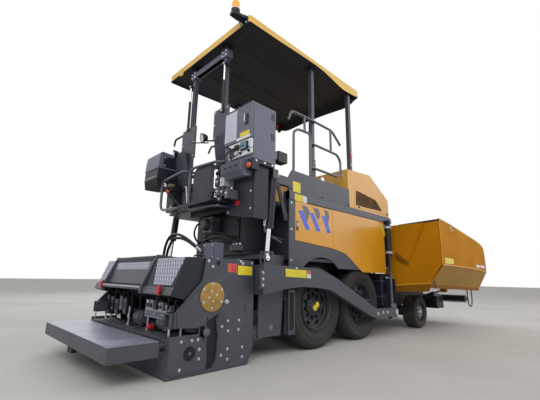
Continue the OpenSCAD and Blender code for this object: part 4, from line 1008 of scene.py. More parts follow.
class PAVER_OT_canopy(bpy.types.Operator):
    """Roof with its wavy rim, the posts' bars, struts and brackets"""

    bl_idname = "paver.canopy"
    bl_label = "Canopy"

    def execute(self, context):
        loop = rounded_loop(ROOF["a"], ROOF["b"], ROOF["radius"], 48, 10)
        lx, ly = ROOF["middle"] + loop[:, 0], loop[:, 1]
        low = rim_bottom(lx, ly)[None]
        top = ROOF["top"]
        k = np.linspace(0.0, 0.955, 40)[:, None]
        crown_y = loop[None, :, 1] * k
        ribs = sum(np.exp(-((crown_y - y) / 0.05)**4) for y in (-0.52, 0.0, 0.52))
        inset = np.clip((0.95 - k) * 8, 0, 1)
        crown = top - 0.028 * inset + 0.014 * ribs * inset + 0.012 * (1 - k**2) * inset
        rows = [roof_point(loop, k, crown)]
        for share, sink in ((0.975, 0.0), (0.989, 0.0), (0.995, 0.003), (0.999, 0.009), (1.0, 0.018)):
            rows.append(roof_point(loop, np.array([[share]]), top - sink))
        t = np.linspace(0, 1, 8)[1:, None]
        rows.append(roof_point(loop, 1.0 - 0.002 * np.sin(np.pi * t),
            (top - 0.018) * (1 - t) + (low + 0.006) * t))
        outer = np.vstack(rows)
        rows = [outer[-1:]]
        for share, lift in ((0.9985, 0.001), (0.995, 0.0), (0.989, 0.002), (0.986, 0.01)):
            rows.append(roof_point(loop, np.array([[share]]), low + lift))
        t = np.linspace(0, 1, 6)[1:, None]
        rows.append(roof_point(loop, 0.986 - 0.012 * t,
            (low + 0.01) * (1 - t) + (ROOF["under"] - 0.004) * t))
        k = np.linspace(0.97, 0.0, 70)[:, None]
        under_y = loop[None, :, 1] * k
        folds = sum(np.exp(-((under_y - y) / 0.014)**2) for y in CREASES)
        sag = 0.006 * np.cos(under_y * 9.0)
        edge = np.clip((0.94 - k) * 10, 0, 1)
        rows.append(roof_point(loop, k, ROOF["under"] + (sag - 0.016 * folds) * edge))
        inner = np.vstack(rows)
        roof = Piece("canopy_sheet", "tractor")
        for grid, finish in ((outer, "canopy_yellow"), (inner, "underside")):
            roof.add((grid.reshape(-1, 3), grid_faces(*grid.shape[:2], close_columns=True)), finish)
        roof.build("canopy_roof")

        fittings = Piece("canopy_fittings", "tractor", 0.0015)
        fittings.boxes("canopy_yellow", -1240, 530, 3660, -1221, 600, 3745)
        fittings.boxes("console", -1140, -400, 3570, -1060, 400, 3640)
        for y in (-0.36, 0.36):
            fittings.add(box((-1.146, y - 0.055, 3.545), (-1.052, y + 0.055, 3.65)), "console")
            fittings.bolts([(-1.147, y + dy, 3.597 + dz) for dy in (-0.035, 0.035) for dz in (-0.03,
                0.03)], BACK, 0.022, 0.014)
            fittings.add(box((-1.16, y - 0.04, 3.645), (-1.04, y + 0.04, 3.735)), "dark")
        for side in (-1, 1):
            fittings.add(tube([(-1.155, side * 0.395, 2.8), (-1.155, side * 0.395, 3.2)], 0.018, 16),
                "dark")
            fittings.add(tube([(-1.155, side * 0.395, 2.84), (-1.155, side * 0.395, 3.42)], 0.0125, 16),
                "chrome")
            for z in (2.78, 3.43):
                fittings.add(box((-1.17, side * 0.395 - 0.022, z - 0.02),
                    (-1.1, side * 0.395 + 0.022, z + 0.02)), "dark")
                fittings.bolts([(-1.17, side * 0.395, z)], BACK, 0.022, 0.014)
        for s in (-1, 1):
            for x, y in ((0.905, 0.86), (0.04, 0.82)):
                fittings.add(box((x - 0.055, s * y - 0.045, 3.7), (x + 0.055, s * y + 0.045, 3.738)),
                    "dark")
                fittings.bolts([(x + dx, s * (y - 0.045), 3.72) for dx in (-0.035, 0.035)], (0, -s, 0),
                    0.018, 0.014)
        fittings.build()
        return {"FINISHED"}


class PAVER_OT_lamps(bpy.types.Operator):
    """Amber beacon and the work lamps under the canopy"""

    bl_idname = "paver.lamps"
    bl_label = "Beacon and lamps"

    def execute(self, context):
        beacon = Piece("beacon", "tractor")
        spot = -1.353, -0.829, 0
        beacon.turned("amber", spot, UP, 40, 0, 3944, 20, 3943.5, 35, 3938, 43, 3926, 46, 3908, 47, 3880,
            48, 3850, 48.5, 3838, 0, 3838)
        beacon.turned("bolt", spot, UP, 24, 0, 3862, 16, 3862, 20, 3850, 20, 3838.5, 0, 3838.5)
        beacon.turned("blank_white", spot, UP, 40, 0, 3838, 49, 3838, 51, 3834, 51, 3824, 0, 3824)
        beacon.turned("dark", spot, UP, 40, 0, 3824, 47, 3824, 52, 3812, 52, 3790, 46, 3776, 0, 3776)
        beacon.plate("dark", 3.742, 3.776, -1405, -865, -1300, -880, -1221, -905, -1221, -800,
            -1300, -785, -1405, -790, along="z")
        beacon.boxes("dark", -1236, -905, 3680, -1222, -800, 3775)
        beacon.add(tube(round_bends(mm(-1330, -830, 3750, -1260, -820, 3680, -1170, -790, 3660,
            -1120, -720, 3690, -1100, -600, 3720, row=3), 0.05), 0.006, 8), "hose")
        beacon.bolts([(-1.236, -0.885, 3.7), (-1.236, -0.82, 3.7)], BACK, 0.016, 0.014)
        for y in (-0.8, 0.8):
            beacon.add(work_lamp((1.09, y, 3.64), (0.9, 0, -0.45), 0.058), "black_plastic")
            beacon.add(work_lamp_glass((1.09, y, 3.64), (0.9, 0, -0.45), 0.058), "glass")
            beacon.add(box((1.06, y - 0.03, 3.69), (1.12, y + 0.03, 3.735)), "dark")
            beacon.add(box((1, y - 0.015, 3.66), (1.05, y + 0.015, 3.735)), "orange_red")
        beacon.build("lamps")
        return {"FINISHED"}


def work_lamp(centre, aim, radius):
    """Round housing with cooling rings, turned about its aim."""
    r = radius
    return lathe([(0, -1.1 * r), (0.45 * r, -1.1 * r), (0.62 * r, -0.95 * r), (0.62 * r, -0.8 * r),
        (0.74 * r, -0.78 * r), (0.74 * r, -0.64 * r), (0.64 * r, -0.62 * r), (0.64 * r, -0.5 * r),
        (0.86 * r, -0.46 * r), (0.9 * r, -0.2 * r), (1 * r, -0.05 * r), (1 * r, 0.1 * r),
        (0.9 * r, 0.12 * r), (0.88 * r, 0.04 * r), (0, 0.02 * r)], centre, aim, 36)


def work_lamp_glass(centre, aim, radius):
    """Lens in a work lamp: a shallow dome with rings."""
    r = radius
    return lathe([(0, 0.14 * r), (0.3 * r, 0.13 * r), (0.32 * r, 0.11 * r), (0.6 * r, 0.09 * r),
        (0.62 * r, 0.07 * r), (0.875 * r, 0.05 * r), (0.875 * r, 0.03 * r),
        (0, 0.03 * r)], centre, aim, 36)


# Body sides, hood and handrails

SIDE_Y = 0.95
STRIPES = {
    "blue": (
        ((-0.385, 1.581), (-0.305, 1.601), (-0.173, 1.379), (-0.251, 1.366)),
        ((-0.176, 1.586), (-0.101, 1.597), (0.037, 1.381), (-0.04, 1.369)),
        ((0.063, 1.578), (0.144, 1.596), (0.256, 1.384), (0.177, 1.372)),
    ),
    "stripe_grey": (
        ((-0.319, 1.659), (-0.223, 1.653), (-0.176, 1.583), (-0.229, 1.47)),
        ((-0.11, 1.664), (-0.001, 1.661), (0.034, 1.592), (-0.011, 1.51)),
        ((0.112, 1.67), (0.207, 1.663), (0.226, 1.592), (0.201, 1.495)),
    ),
}
GRILLE = mm(952, 2095, 1530, 2040, 1590, 2000, 1709, 1907, 1700, 1885, 935, 1864)
HANDRAIL_Y = 0.87


class PAVER_OT_door_stripes(bpy.types.Operator):
    """Slanted bars on the two service doors, with a flush latch"""

    bl_idname = "paver.door_stripes"
    bl_label = "Door stripes"

    def execute(self, context):
        for letter, side in SIDES:
            door = Piece(f"door_stripes_{letter}", f"service_door_{letter}")
            for finish, bars in STRIPES.items():
                for outline in bars:
                    door.add(prism(outline, side * (SIDE_Y - 0.002), side * (SIDE_Y + 0.0015)), finish)
            latch = -0.405, side * SIDE_Y, 1.4
            door.add(rounded_plate((0.036, 0.11), latch, 0.006, 0.012), "black_plastic")
            door.add(rounded_plate((0.024, 0.05), (latch[0], latch[1], 1.415), 0.012, 0.008),
                "dull_silver")
            door.build()
        return {"FINISHED"}


class PAVER_OT_side_trim(bpy.types.Operator):
    """Band along the body, blank plates, hood frame, seams and fasteners"""

    bl_idname = "paver.side_trim"
    bl_label = "Side trim"

    def execute(self, context):
        trim = Piece("side_trim", "tractor", 0.0015)
        band = mm(-951.5, 1703, -951.5, 1770, -949, 1786, -941, 1797, -930, 1801.5, -892, 1801.5,
            -892, 1703)
        trim.both(prism(band, -0.545, 1.955, "x"), "grey")
        trim.both(rounded_plate((0.137, 0.13), (-0.405, -0.9405, 1.865), 0.003, 0.01), "blank_yellow")
        trim.both(rounded_plate((0.145, 0.084), (-0.38, -0.9515, 1.738), 0.003, 0.008), "blank_yellow")
        trim.both(rounded_plate((0.07, 0.084), (-0.268, -0.9515, 1.736), 0.003, 0.008), "blank_white")
        slanted = mm(1605, 1665, 1672, 1668, 1752, 1500, 1735, 1478, 1668, 1490)
        trim.both(prism(slanted, -0.9515, -0.949), "blank_yellow")
        trim.both(frame_strip(GRILLE, 0.03, -0.9235, -0.917), "hood_yellow")
        ring = widened(GRILLE, 0.015)
        edge = np.vstack([a + (b - a) * np.linspace(0, 1, max(1, round(np.linalg.norm(b - a) / 0.16)),
            endpoint=False)[:, None] for a, b in zip(ring, np.roll(ring, -1, 0))])
        spots = np.stack([edge[:, 0], np.full(len(edge), -0.9235), edge[:, 1]], 1)
        trim.both(bolts(spots, RIGHT, 0.012, 0.005), "hood_yellow")
        for x in (1.02, 1.9):
            trim.both(rounded_plate((0.05, 0.03), (x, -0.921, 1.85 if x < 1.5 else 1.86), 0.008, 0.008),
                "black_plastic")
        rear_wall = 0.7455
        for y in (-0.688, 0.0, 0.688):
            trim.add(box((rear_wall - 0.002, y - 0.003, 1.7), (rear_wall + 0.002, y + 0.003, 2.36)),
                "stripe_grey")
        for y in (-0.3, 0.3):
            trim.add(rounded_plate((0.16, 0.05), (rear_wall, y, 2.05), 0.012, 0.02, "x"), "black_plastic")
            trim.add(rounded_plate((0.1, 0.022), (rear_wall - 0.006, y, 2.05), 0.01, 0.01, "x"),
                "dull_silver")
        for y in (-0.84, -0.42, 0.0, 0.42, 0.84):
            trim.bolts([(rear_wall, y, z) for z in (1.86, 2.3)], BACK, 0.016, 0.006)
        trim.turned("blank_yellow", (0.8, -0.78, 2.372), UP, 32, 0, 30, 30, 30, 38, 24, 40, 0, 0, 0)
        for x in (1.05, 1.75):
            for y in (-0.55, 0.55):
                trim.add(lift_loop((x, y, hood_top(x))), "hood_yellow")
        trim.build()

        latches = Piece("guard_latches", "tractor", 0.001)
        latches.boxes_both("chrome", 98, -936, 2020, 148, -912, 2095)
        latches.both(bar((0.123, -0.924, 2), (0.123, -0.924, 2.115), 0.008, 12), "chrome")
        latches.both(bolts([(x, -0.9405, 1.83) for x in (-0.5, 0.1, 0.7)], RIGHT, 0.02, 0.008),
            "black_bolt")
        latches.both(bolts([(0.905, -0.8905, 2.49)], RIGHT, 0.03, 0.012), "blank_white")
        latches.boxes_both("red", 885, -902, 2600, 925, -889.5, 2680)
        latches.build()
        return {"FINISHED"}


def hood_top(x):
    """Height of the hood's top over x: a slow rise, a long slope and the short front."""
    return float(np.interp(x, (0.742, 1.393, 1.976), (2.378, 2.427, 2.1)))


def lift_loop(spot):
    """Small bent eye for lifting the hood."""
    x, y, z = spot
    return tube(round_bends([(x - 0.035, y, z - 0.01), (x - 0.035, y, z + 0.035),
        (x + 0.035, y, z + 0.035), (x + 0.035, y, z - 0.01)], 0.02), 0.006, 10)


class PAVER_OT_handrails(bpy.types.Operator):
    """Bent tube handrails on both sides of the platform"""

    bl_idname = "paver.handrails"
    bl_label = "Handrails"

    def execute(self, context):
        y = -HANDRAIL_Y
        rails = Piece("bent_handrails", "tractor")
        flat = {"top": mm(-489, 2740, -434, 2885, -160, 2900, 440, 2895, 650, 2730),
            "loop": mm(-385, 1800, -385, 2610, -300, 2675, -60, 2690, -50, 2590, -50, 1800),
            "frame": mm(-50, 2560, 560, 2560, 640, 2480, 640, 2300, 550, 2225, -50, 2225)}
        for name, line in flat.items():
            rails.both(smooth_rail([(x, y, z) for x, z in line], 0.055 if name == "top" else 0.08),
                "rail_grey")
        for x, low, high in ((-0.168, 2.69, 2.89), (0.41, 2.56, 2.89)):
            rails.both(bar((x, y, low), (x, y, high), 0.017, 20), "rail_grey")
        for x in (-0.385, -0.05):
            rails.both(box((x - 0.045, y - 0.03, 1.8), (x + 0.045, y + 0.03, 1.812)), "rail_grey")
            rails.bolts_both([(x - 0.032, y, 1.812), (x + 0.032, y, 1.812)], UP, 0.018, 0.01)
        rails.build("handrails")
        return {"FINISHED"}


class PAVER_OT_tow_gear(bpy.types.Operator):
    """Plates, bolts, straps and hoses of the tow arms and their columns"""

    bl_idname = "paver.tow_gear"
    bl_label = "Tow arms and columns"

    def execute(self, context):
        arms = Piece("tow_arm_details", "screed", 0.0015)
        arms.both(prism(mm(-700, 817, -365, 806, -362, 890, -704, 899), -1.0475, -1.044), "blank_yellow")
        arms.both(prism(mm(-352, 806, -285, 802, -283, 884, -350, 889), -1.0475, -1.044), "blank_white")
        arms.both(prism(mm(-350, 850, -284, 846, -283, 884, -350, 889), -1.048, -1.045), "orange_red")
        arms.bolts_both(mm(1199, -1045, 338, 1344, -1045, 345, 1472, -1045, 342, row=3), RIGHT, 0.034,
            0.016)
        arms.bolts_both([(-0.53, -1.045, 0.905)], RIGHT, 0.026, 0.012)
        arms.boxes_both("grey", -1070, -1048.5, 700, -990, -1044, 880)
        arms.bolts_both([(-1.03, -1.0485, z) for z in (0.73, 0.79, 0.85)], RIGHT, 0.022, 0.01)
        arms.build()

        columns = Piece("column_straps", "tractor", 0.001)
        for z in (0.835, 1.65):
            columns.both(box((1.65, -0.962, z - 0.014), (1.87, -0.956, z + 0.014)), "dull_silver")
            columns.bolts_both([(x, -0.962, z) for x in (1.668, 1.852)], RIGHT)
        for z in (0.3, 0.45, 0.6, 0.75):
            columns.bolts_both([(1.68, -0.958, z), (1.84, -0.958, z)], RIGHT)
        columns.build()

        barrels = Piece("column_barrels", "tractor")
        for z in (1.22, 1.62):
            barrels.both(lathe([(0.042, z - 0.016), (0.056, z - 0.016), (0.057, z), (0.056, z + 0.016),
                (0.042, z + 0.016), (0.042, z - 0.016)], (1.76, -0.985, 0), UP, 32), "dull_silver")
        for low, x in ((1.24, 1.72), (1.6, 1.8)):
            route = [(x, -0.935, low), (x, -0.99, low + 0.01), (x - 0.02, -1.015, low - 0.16),
                (x, -0.99, low - 0.34), (x, -0.945, low - 0.4)]
            for shape in hose_between(route, 0.01):
                barrels.both(shape, "hose")
        barrels.build()
        return {"FINISHED"}


class PAVER_OT_exhaust(bpy.types.Operator):
    """Upright exhaust pipe in front of the canopy, with its clamp, shield and cut mouth"""

    bl_idname = "paver.exhaust"
    bl_label = "Exhaust"

    def execute(self, context):
        stack = Piece("exhaust_pipe", "tractor")
        spot = 1.25, 0.13, 0
        foot = hood_top(spot[0]) - 0.02
        stack.add(lathe([(0, foot), (0.085, foot), (0.085, foot + 0.032), (0.06, foot + 0.04),
            (0.045, foot + 0.048), (0.045, 2.95), (0.048, 2.955), (0.048, 2.985), (0.045, 2.99),
            (0.045, 3.7), (0.041, 3.7), (0.041, foot + 0.1), (0, foot + 0.1)], spot, UP, 40), "dark")
        slots = [(0.058, foot + 0.1), (0.061, foot + 0.11), (0.061, 2.88), (0.058, 2.89), (0.055, 2.88),
            (0.055, foot + 0.11), (0.058, foot + 0.1)]
        stack.add(lathe(slots, spot, UP, 40), "heat_steel")
        for z in (foot + 0.15, 2.82):
            stack.add(lathe([(0.056, z), (0.0635, z), (0.0635, z + 0.02), (0.056, z + 0.02), (0.056, z)],
                spot, UP, 40), "bolt")
        stack.bolts(circle(6, (spot[0], spot[1], foot + 0.032), 0.072, "z"), UP, 0.016)
        stack.build()
        return {"FINISHED"}


# Side panels

PANEL = {"outer": -0.95, "inner": -0.934, "band": 1.697, "rear": -0.545, "low": 0.93, "gap": 0.0045}
DOOR = {"rear": -0.44, "front": 0.3, "rear_z": 1.229, "front_z": 1.18}
ARCH = {"x": 0.06, "z": 0.5, "radius": 0.56}
COVER = {"front": 1.7, "low": 0.9}


def panel_edge(from_x):
    """Lower edge of the yellow panels from x forward: a slow slope, then one round sweep down."""
    sweep = smooth_line([(DOOR["rear"], DOOR["rear_z"]), (0, 1.201), (DOOR["front"], DOOR["front_z"]),
        (0.487, 1.154), (0.594, 1.124), (0.703, 1.073), (0.852, 0.984), (1.004, COVER["low"])], 6)
    start = np.array([[from_x, np.interp(from_x, sweep[:, 0], sweep[:, 1])]])
    return np.vstack([start, sweep[sweep[:, 0] > from_x + 1e-06]])


class PAVER_OT_side_panels(bpy.types.Operator):
    """Yellow covers and doors over the grey skirts, whose arches clear the wheels"""

    bl_idname = "paver.side_panels"
    bl_label = "Side panels"

    def execute(self, context):
        gap = PANEL["gap"]
        edge = panel_edge(DOOR["front"] + gap)
        covers = Piece("yellow_covers", "tractor", 0.003)
        outline = np.vstack([[(DOOR["front"] + gap, PANEL["band"]), (COVER["front"], PANEL["band"]),
            (COVER["front"], COVER["low"])], edge[::-1]])
        covers.both(prism(outline, PANEL["outer"], PANEL["inner"]), "yellow")
        covers.both(prism([(COVER["front"] - 0.018, 1.69), (COVER["front"], 1.69),
            (COVER["front"], 0.905), (COVER["front"] - 0.018,
            0.905)], PANEL["inner"], PANEL["inner"] + 0.03), "yellow")
        covers.build("side_covers")

        edge = panel_edge(DOOR["rear"] - gap) - (0, gap)
        edge = edge[edge[:, 1] > PANEL["low"]]
        turn = np.linspace(np.arcsin((PANEL["low"] - ARCH["z"]) / ARCH["radius"]),
            np.pi - np.arcsin((PANEL["low"] - ARCH["z"]) / ARCH["radius"]), 40)
        arch = np.stack([ARCH["x"] + ARCH["radius"] * np.cos(turn),
            ARCH["z"] + ARCH["radius"] * np.sin(turn)], 1)
        outline = np.vstack([[(PANEL["rear"], PANEL["band"]), (DOOR["rear"] - gap, PANEL["band"])], edge,
            [(0.945, PANEL["low"])], arch, [(PANEL["rear"], PANEL["low"])]])
        skirts = Piece("grey_skirts", "tractor", 0.003)
        skirts.both(prism(outline, PANEL["outer"] + 0.001, PANEL["inner"]), "grey")
        lip = np.stack([arch[:, 0], np.full(len(arch), PANEL["inner"] + 0.002), arch[:, 1]], 1)
        skirts.both(tube(lip, 0.006, 8), "grey")
        skirts.bolts_both([(PANEL["rear"] + 0.035, PANEL["outer"] + 0.001, z) for z in (1, 1.35, 1.66)],
            RIGHT, 0.02)
        skirts.build("side_skirts")

        for letter, side in SIDES:
            door = Piece(f"yellow_door_{letter}", f"service_door_{letter}", 0.003, side)
            low = panel_edge(DOOR["rear"])
            low = np.vstack([low[low[:, 0] < DOOR["front"] - 1e-06], [(DOOR["front"], DOOR["front_z"])]])
            outline = np.vstack([[(DOOR["front"], PANEL["band"] - gap),
                (DOOR["rear"], PANEL["band"] - gap)], low])
            door.add(prism(outline, PANEL["outer"], PANEL["inner"]), "yellow")
            hinge_x, hinge_y = DOOR["front"] - 0.002, PANEL["outer"] + 0.003
            for z in (1.3, 1.58):
                door.add(bar((hinge_x, hinge_y, z - 0.035), (hinge_x, hinge_y, z + 0.035), 0.0065, 14),
                    "yellow")
            inner = [(DOOR["rear"] + 0.05, 1.64), (DOOR["front"] - 0.05, 1.64),
                (DOOR["front"] - 0.05, 1.24), (DOOR["rear"] + 0.05, 1.28)]
            door.add(frame_strip(inner, 0.03, PANEL["inner"] - 0.001, PANEL["inner"] + 0.012), "yellow")
            door.build(f"service_door_{letter}")
        return {"FINISHED"}


class PAVER_OT_tank(bpy.types.Operator):
    """Fuel tank and step plates between the wheels and the hopper"""

    bl_idname = "paver.tank"
    bl_label = "Fuel tank"

    def execute(self, context):
        tank = Piece("fuel_tank", "tractor", 0.012)
        tank.boxes_both("dark", 1575, -925, 420, 1895, -592, 895)
        for z in (0.55, 0.78):
            tank.both(box((1.57, -0.929, z - 0.015), (1.9, -0.592, z + 0.015)), "grey")
        tank.build()
        return {"FINISHED"}


# Screed

SLOPE = {"top": (-1.81, 0.968), "low": (-1.93, 0.64)}


def on_slope(y, t, lift):
    """Point of a cover's slope: t is 0 at its top edge and 1 at its low edge, lifted square to it."""
    (x0, z0), (x1, z1) = SLOPE["top"], SLOPE["low"]
    run = math.hypot(x1 - x0, z1 - z0)
    out = (z1 - z0) / run, (x0 - x1) / run
    return x0 + (x1 - x0) * t + out[0] * lift, y, z0 + (z1 - z0) * t + out[1] * lift


def slope_plate(corners, low, high):
    """Flat plate on the slope; each corner is (y, t)."""
    lower = np.array([on_slope(y, t, low) for y, t in corners])
    upper = np.array([on_slope(y, t, high) for y, t in corners])
    ring = np.arange(len(corners))
    sides = np.stack([ring, (ring + 1) % len(ring), (ring + 1) % len(ring) + len(ring), ring + len(ring)],
        1)
    return np.vstack([lower, upper]), [sides, ring[None, ::-1], ring[None] + len(ring)]


class PAVER_OT_screed_covers(bpy.types.Operator):
    """Tread plate covers, their raised rims, the recess between them and the red lamps"""

    bl_idname = "paver.screed_covers"
    bl_label = "Screed covers"

    def execute(self, context):
        covers = Piece("screed_covers", "screed", 0.002)
        for a, b, foot_a, foot_b in ((-0.893, -0.395, -0.845, -0.515), (0.89, 0.69, 0.89, 0.7)):
            covers.add(slope_plate([(a, 0.01), (b, 0.01), (foot_b, 0.74), (foot_a, 0.74)], -0.002, 0.003),
                "tread_plate")
            low_edge = sorted((a, b))
            covers.add(slope_plate([(low_edge[0], 0.79), (low_edge[1] + 0.06, 0.79),
                (low_edge[1] + 0.06, 0.985), (low_edge[0], 0.985)], -0.002, 0.002), "tread_dark")
        for y in (-0.345, 0.645):
            cheek = mm(-1800, 1006, -1760, 1006, -1560, 990, -1560, 960, -1800, 960, -1905, 640,
                -1944, 640, -1940, 700)
            covers.add(prism(cheek, y, y + 0.03), "grey")
        covers.plate("grey", -0.314, 0.644, -1812, 948, -1800, 944, -1872, 716, -1884, 720)
        inner = mm(-1815.5, 938, -1812.5, 937, -1877.5, 728, -1880.5, 729)
        covers.add(prism(inner, -0.24, 0.57), "tread_plate")
        covers.boxes("grey", -1938, -314, 672, -1872, 644, 712)
        covers.boxes("dull_silver", -1944, -314, 690, -1938, 644, 706)
        covers.plate("grey", -0.3, 0.636, -1820, 992, -1806, 1000, -1790, 992, -1790, 967, -1812, 967)
        for x in (-1.7, -1.45, -1.2):
            covers.bolts([(x, y, 0.968) for y in (-0.86, -0.6, -0.38, 0.2, 0.55, 0.86)], UP, 0.022, 0.01)
        for y in (-0.62, 0.3):
            covers.add(tube(round_bends([(-1.5, y - 0.09, 0.966), (-1.5, y - 0.09, 1.01),
                (-1.5, y + 0.09, 1.01), (-1.5, y + 0.09, 0.966)], 0.03), 0.008, 12), "black_plastic")
        covers.boxes("tread_dark", -1780, -895, 967.5, -1110, -330, 970.5,
            -1780, 670, 967.5, -1110, 895, 970.5)
        covers.build()

        lamps = Piece("screed_lamps", "screed")
        for y, z in ((-0.706, 0.683), (0.684, 0.698)):
            loop = rounded_loop(0.03, 0.042, 0.028, 2, 8)
            for grow, x0, x1, finish in ((1.12, -1.938, -1.93, "black_plastic"),
                    (1.0, -1.95, -1.934, "red"), (0.8, -1.955, -1.948, "red")):
                lamps.add(prism(loop * grow + (y, z), x0, x1, "x"), finish)
        lamps.build()
        return {"FINISHED"}


END_BOLTS = mm(-1588, 942, -1541, 894, -1215, 955, -1188, 935, -1069, 940, -1343, 410, -1213, 407,
    -1409, 366, -1338, 323, -1215, 324, -1337, 169, -1164, 165, -1406, 124, -1335, 82, -1163, 80)
FOOT_PLATE = mm(-1926, 318, -1626, 301, -1574, 230, -1562, 127, -1575, 40, -1890, 32, -1926, 60)
FOOT_BOLTS = mm(-1819, 281, -1720, 281, -1661, 283, -1643, 204, -1643, 130, -1820, 70)
SIDE_ARM = mm(-1873, 505, -1663, 700, -1536, 760, -1405, 640, -1397, 578, -1463, 488, -1587, 417,
    -1671, 375, -1862, 388)
DISC_BOLTS = mm(-1543, 739, -1634, 691, -1443, 688, -1551, 673, -1499, 643, -1578, 622, -1531, 589,
    -1631, 583, -1440, 582, -1546, 530)


class PAVER_OT_screed_ends(bpy.types.Operator):
    """Outer faces of the extensions: bronze disc, foot plate, slot with its rod, blank plates and bolts"""

    bl_idname = "paver.screed_ends"
    bl_label = "Screed end plates"

    def execute(self, context):
        face = 0.922
        for letter, side in SIDES:
            end = Piece(f"end_plate_{letter}", f"extension_{letter}", 0.0015, side)
            end.add(prism(SIDE_ARM, -face - 0.008, -face + 0.002), "grey")
            end.add(prism(FOOT_PLATE, -face - 0.01, -face + 0.002), "grey")
            # the near-black sheets in the slot and the holes below are painted shade in the openings
            end.plate("void", -face - 0.0025, -face + 0.001, -1566, 455, -1452, 466, -1480, 431,
                -1452, 282, -1470, 120, -1516, 40, -1556, 40, -1546, 330)
            rod = mm(-1452, 476, -1488, 431, -1461, 288, -1475, 106, -1516, 36)
            end.add(tube(round_bends([(x, -face - 0.008, z) for x, z in rod], 0.02), 0.0065, 10),
                "black_bolt")
            rod = mm(-1574, 462, -1556, 330, -1552, 140, -1556, 36)
            end.add(tube(round_bends([(x, -face - 0.008, z) for x, z in rod], 0.02), 0.005, 10),
                "black_bolt")
            end.turned("cast", (-1.575, -face, 0.333), RIGHT, 32, 0, 18, 20, 18, 26, 14, 34, 12, 34, 0,
                0, 0)
            end.turned("dark", (-1.736, -face, 0.183), RIGHT, 40, 31, 10, 50, 10, 53, 13.5, 56, 13, 56, 9,
                31, 9)
            end.turned("void", (-1.736, -face, 0.183), RIGHT, 40, 0, 0, 51, 0, 51, 10.8, 0, 10.8)
            end.turned("cast", (-1.736, -face, 0.183), RIGHT, 6, 0, 10, 12, 10, 16, 16.5, 12, 18.5,
                0, 18.5)
            end.turned("bronze", (-1.536, -face, 0.628), RIGHT, 96, 0, 19.5, 118, 19.5, 124, 18.5,
                128.5, 15, 129, 4, 0, 4)
            end.turned("bronze", (-1.536, -face, 0.628), RIGHT, 48, 30, 19, 36, 20.5, 42, 19, 36, 18,
                30, 19)
            end.bolts([(x, -face - 0.019, z) for x, z in DISC_BOLTS], RIGHT, 0.018, 0.009)
            end.bolts([(x, -face, z) for x, z in END_BOLTS], RIGHT, 0.021, 0.009)
            end.bolts([(x, -face - 0.01, z) for x, z in FOOT_BOLTS], RIGHT, 0.021, 0.009)
            end.turned("dull_silver", (-1.374, -face, 0.58), RIGHT, 24, 0, 30, 10, 30, 13, 26, 13, 12,
                22, 10, 22, 0, 0, 0)
            end.turned("void", (-1.482, -face, 0.928), RIGHT, 24, 0, 0, 22, 0, 22, 1.5, 0, 1.5)
            end.plate("void", -face - 0.001, -face + 0.001, -1147, 540, -1138, 540, -1136, 470,
                -1145, 470)
            end.plate("orange_red", -face - 0.002, -face + 0.001, -1372, 850, -1262, 846, -1262, 926,
                -1372, 930)
            end.plate("red", -face - 0.0026, -face - 0.001, -1330, 856, -1270, 854, -1270, 917,
                -1330, 919)
            end.plate("blank_yellow", -face - 0.002, -face + 0.001, -1249, 826, -1066, 822, -1066, 908,
                -1249, 914)
            # the channel's inner box in the near-black finish is painted shade in the recess
            y0, y1 = -face + 0.02, -face + 0.105
            for low, high in (((-1.925, y0, 0.385), (-1.6, y1, 0.393)),
                    ((-1.925, y0, 0.493), (-1.88, y1, 0.501)),
                    ((-1.925, y1 - 0.008, 0.385), (-1.6, y1, 0.501)),
                    ((-1.925, y0, 0.385), (-1.88, y0 + 0.008, 0.501)),
                    ((-1.88, y0 + 0.009, 0.394), (-1.86, y1 - 0.009, 0.492))):
                end.add(box(low, high), "grey" if low[0] != -1.88 else "void")
            end.add(tube(round_bends(mm(-1905, -870, 385, -1905, -870, 330, -1900, -870, 300, row=3),
                0.01), 0.008, 10), "bolt")
            end.build()
        return {"FINISHED"}


class PAVER_OT_walkway(bpy.types.Operator):
    """Tread plate walkways behind the screed with their slotted arms and brackets"""

    bl_idname = "paver.walkway"
    bl_label = "Walkways"

    def execute(self, context):
        for letter, side in SIDES:
            walk = Piece(f"walkway_{letter}", f"extension_{letter}", 0.0015, side)
            walk.boxes("tread_plate", -2385, -889, 295.5, -1991, -4, 298.5)
            for y in (-0.835, -0.095):
                slot = rounded_loop(0.044, 0.015, 0.014, 2, 6) + (-1.962, 0.229)
                # dark sheets in the slots: painted shade through the openings
                walk.add(prism(slot, y - 0.0265, y - 0.024), "void")
                walk.add(prism(slot, y + 0.024, y + 0.0265), "void")
                walk.add(frame_strip(slot, 0.006, y - 0.0285, y - 0.024), "grey")
            for y in (-0.7, -0.42, -0.16):
                walk.add(box((-2.3, y - 0.02, 0.172), (-2.06, y + 0.02, 0.182)), "dark")
                walk.bolts([(-2.31, y, 0.295 - 0.105)], DOWN)
            walk.bolts([(-2.381, y, 0.222) for y in (-0.8, -0.1)], BACK, 0.018, 0.005)
            walk.boxes("black_plastic", -2378, -60, 130, -2330, -12, 182)
            walk.boxes("grey", -1990, -880, 186, -1978, -780, 280)
            walk.build()
        return {"FINISHED"}


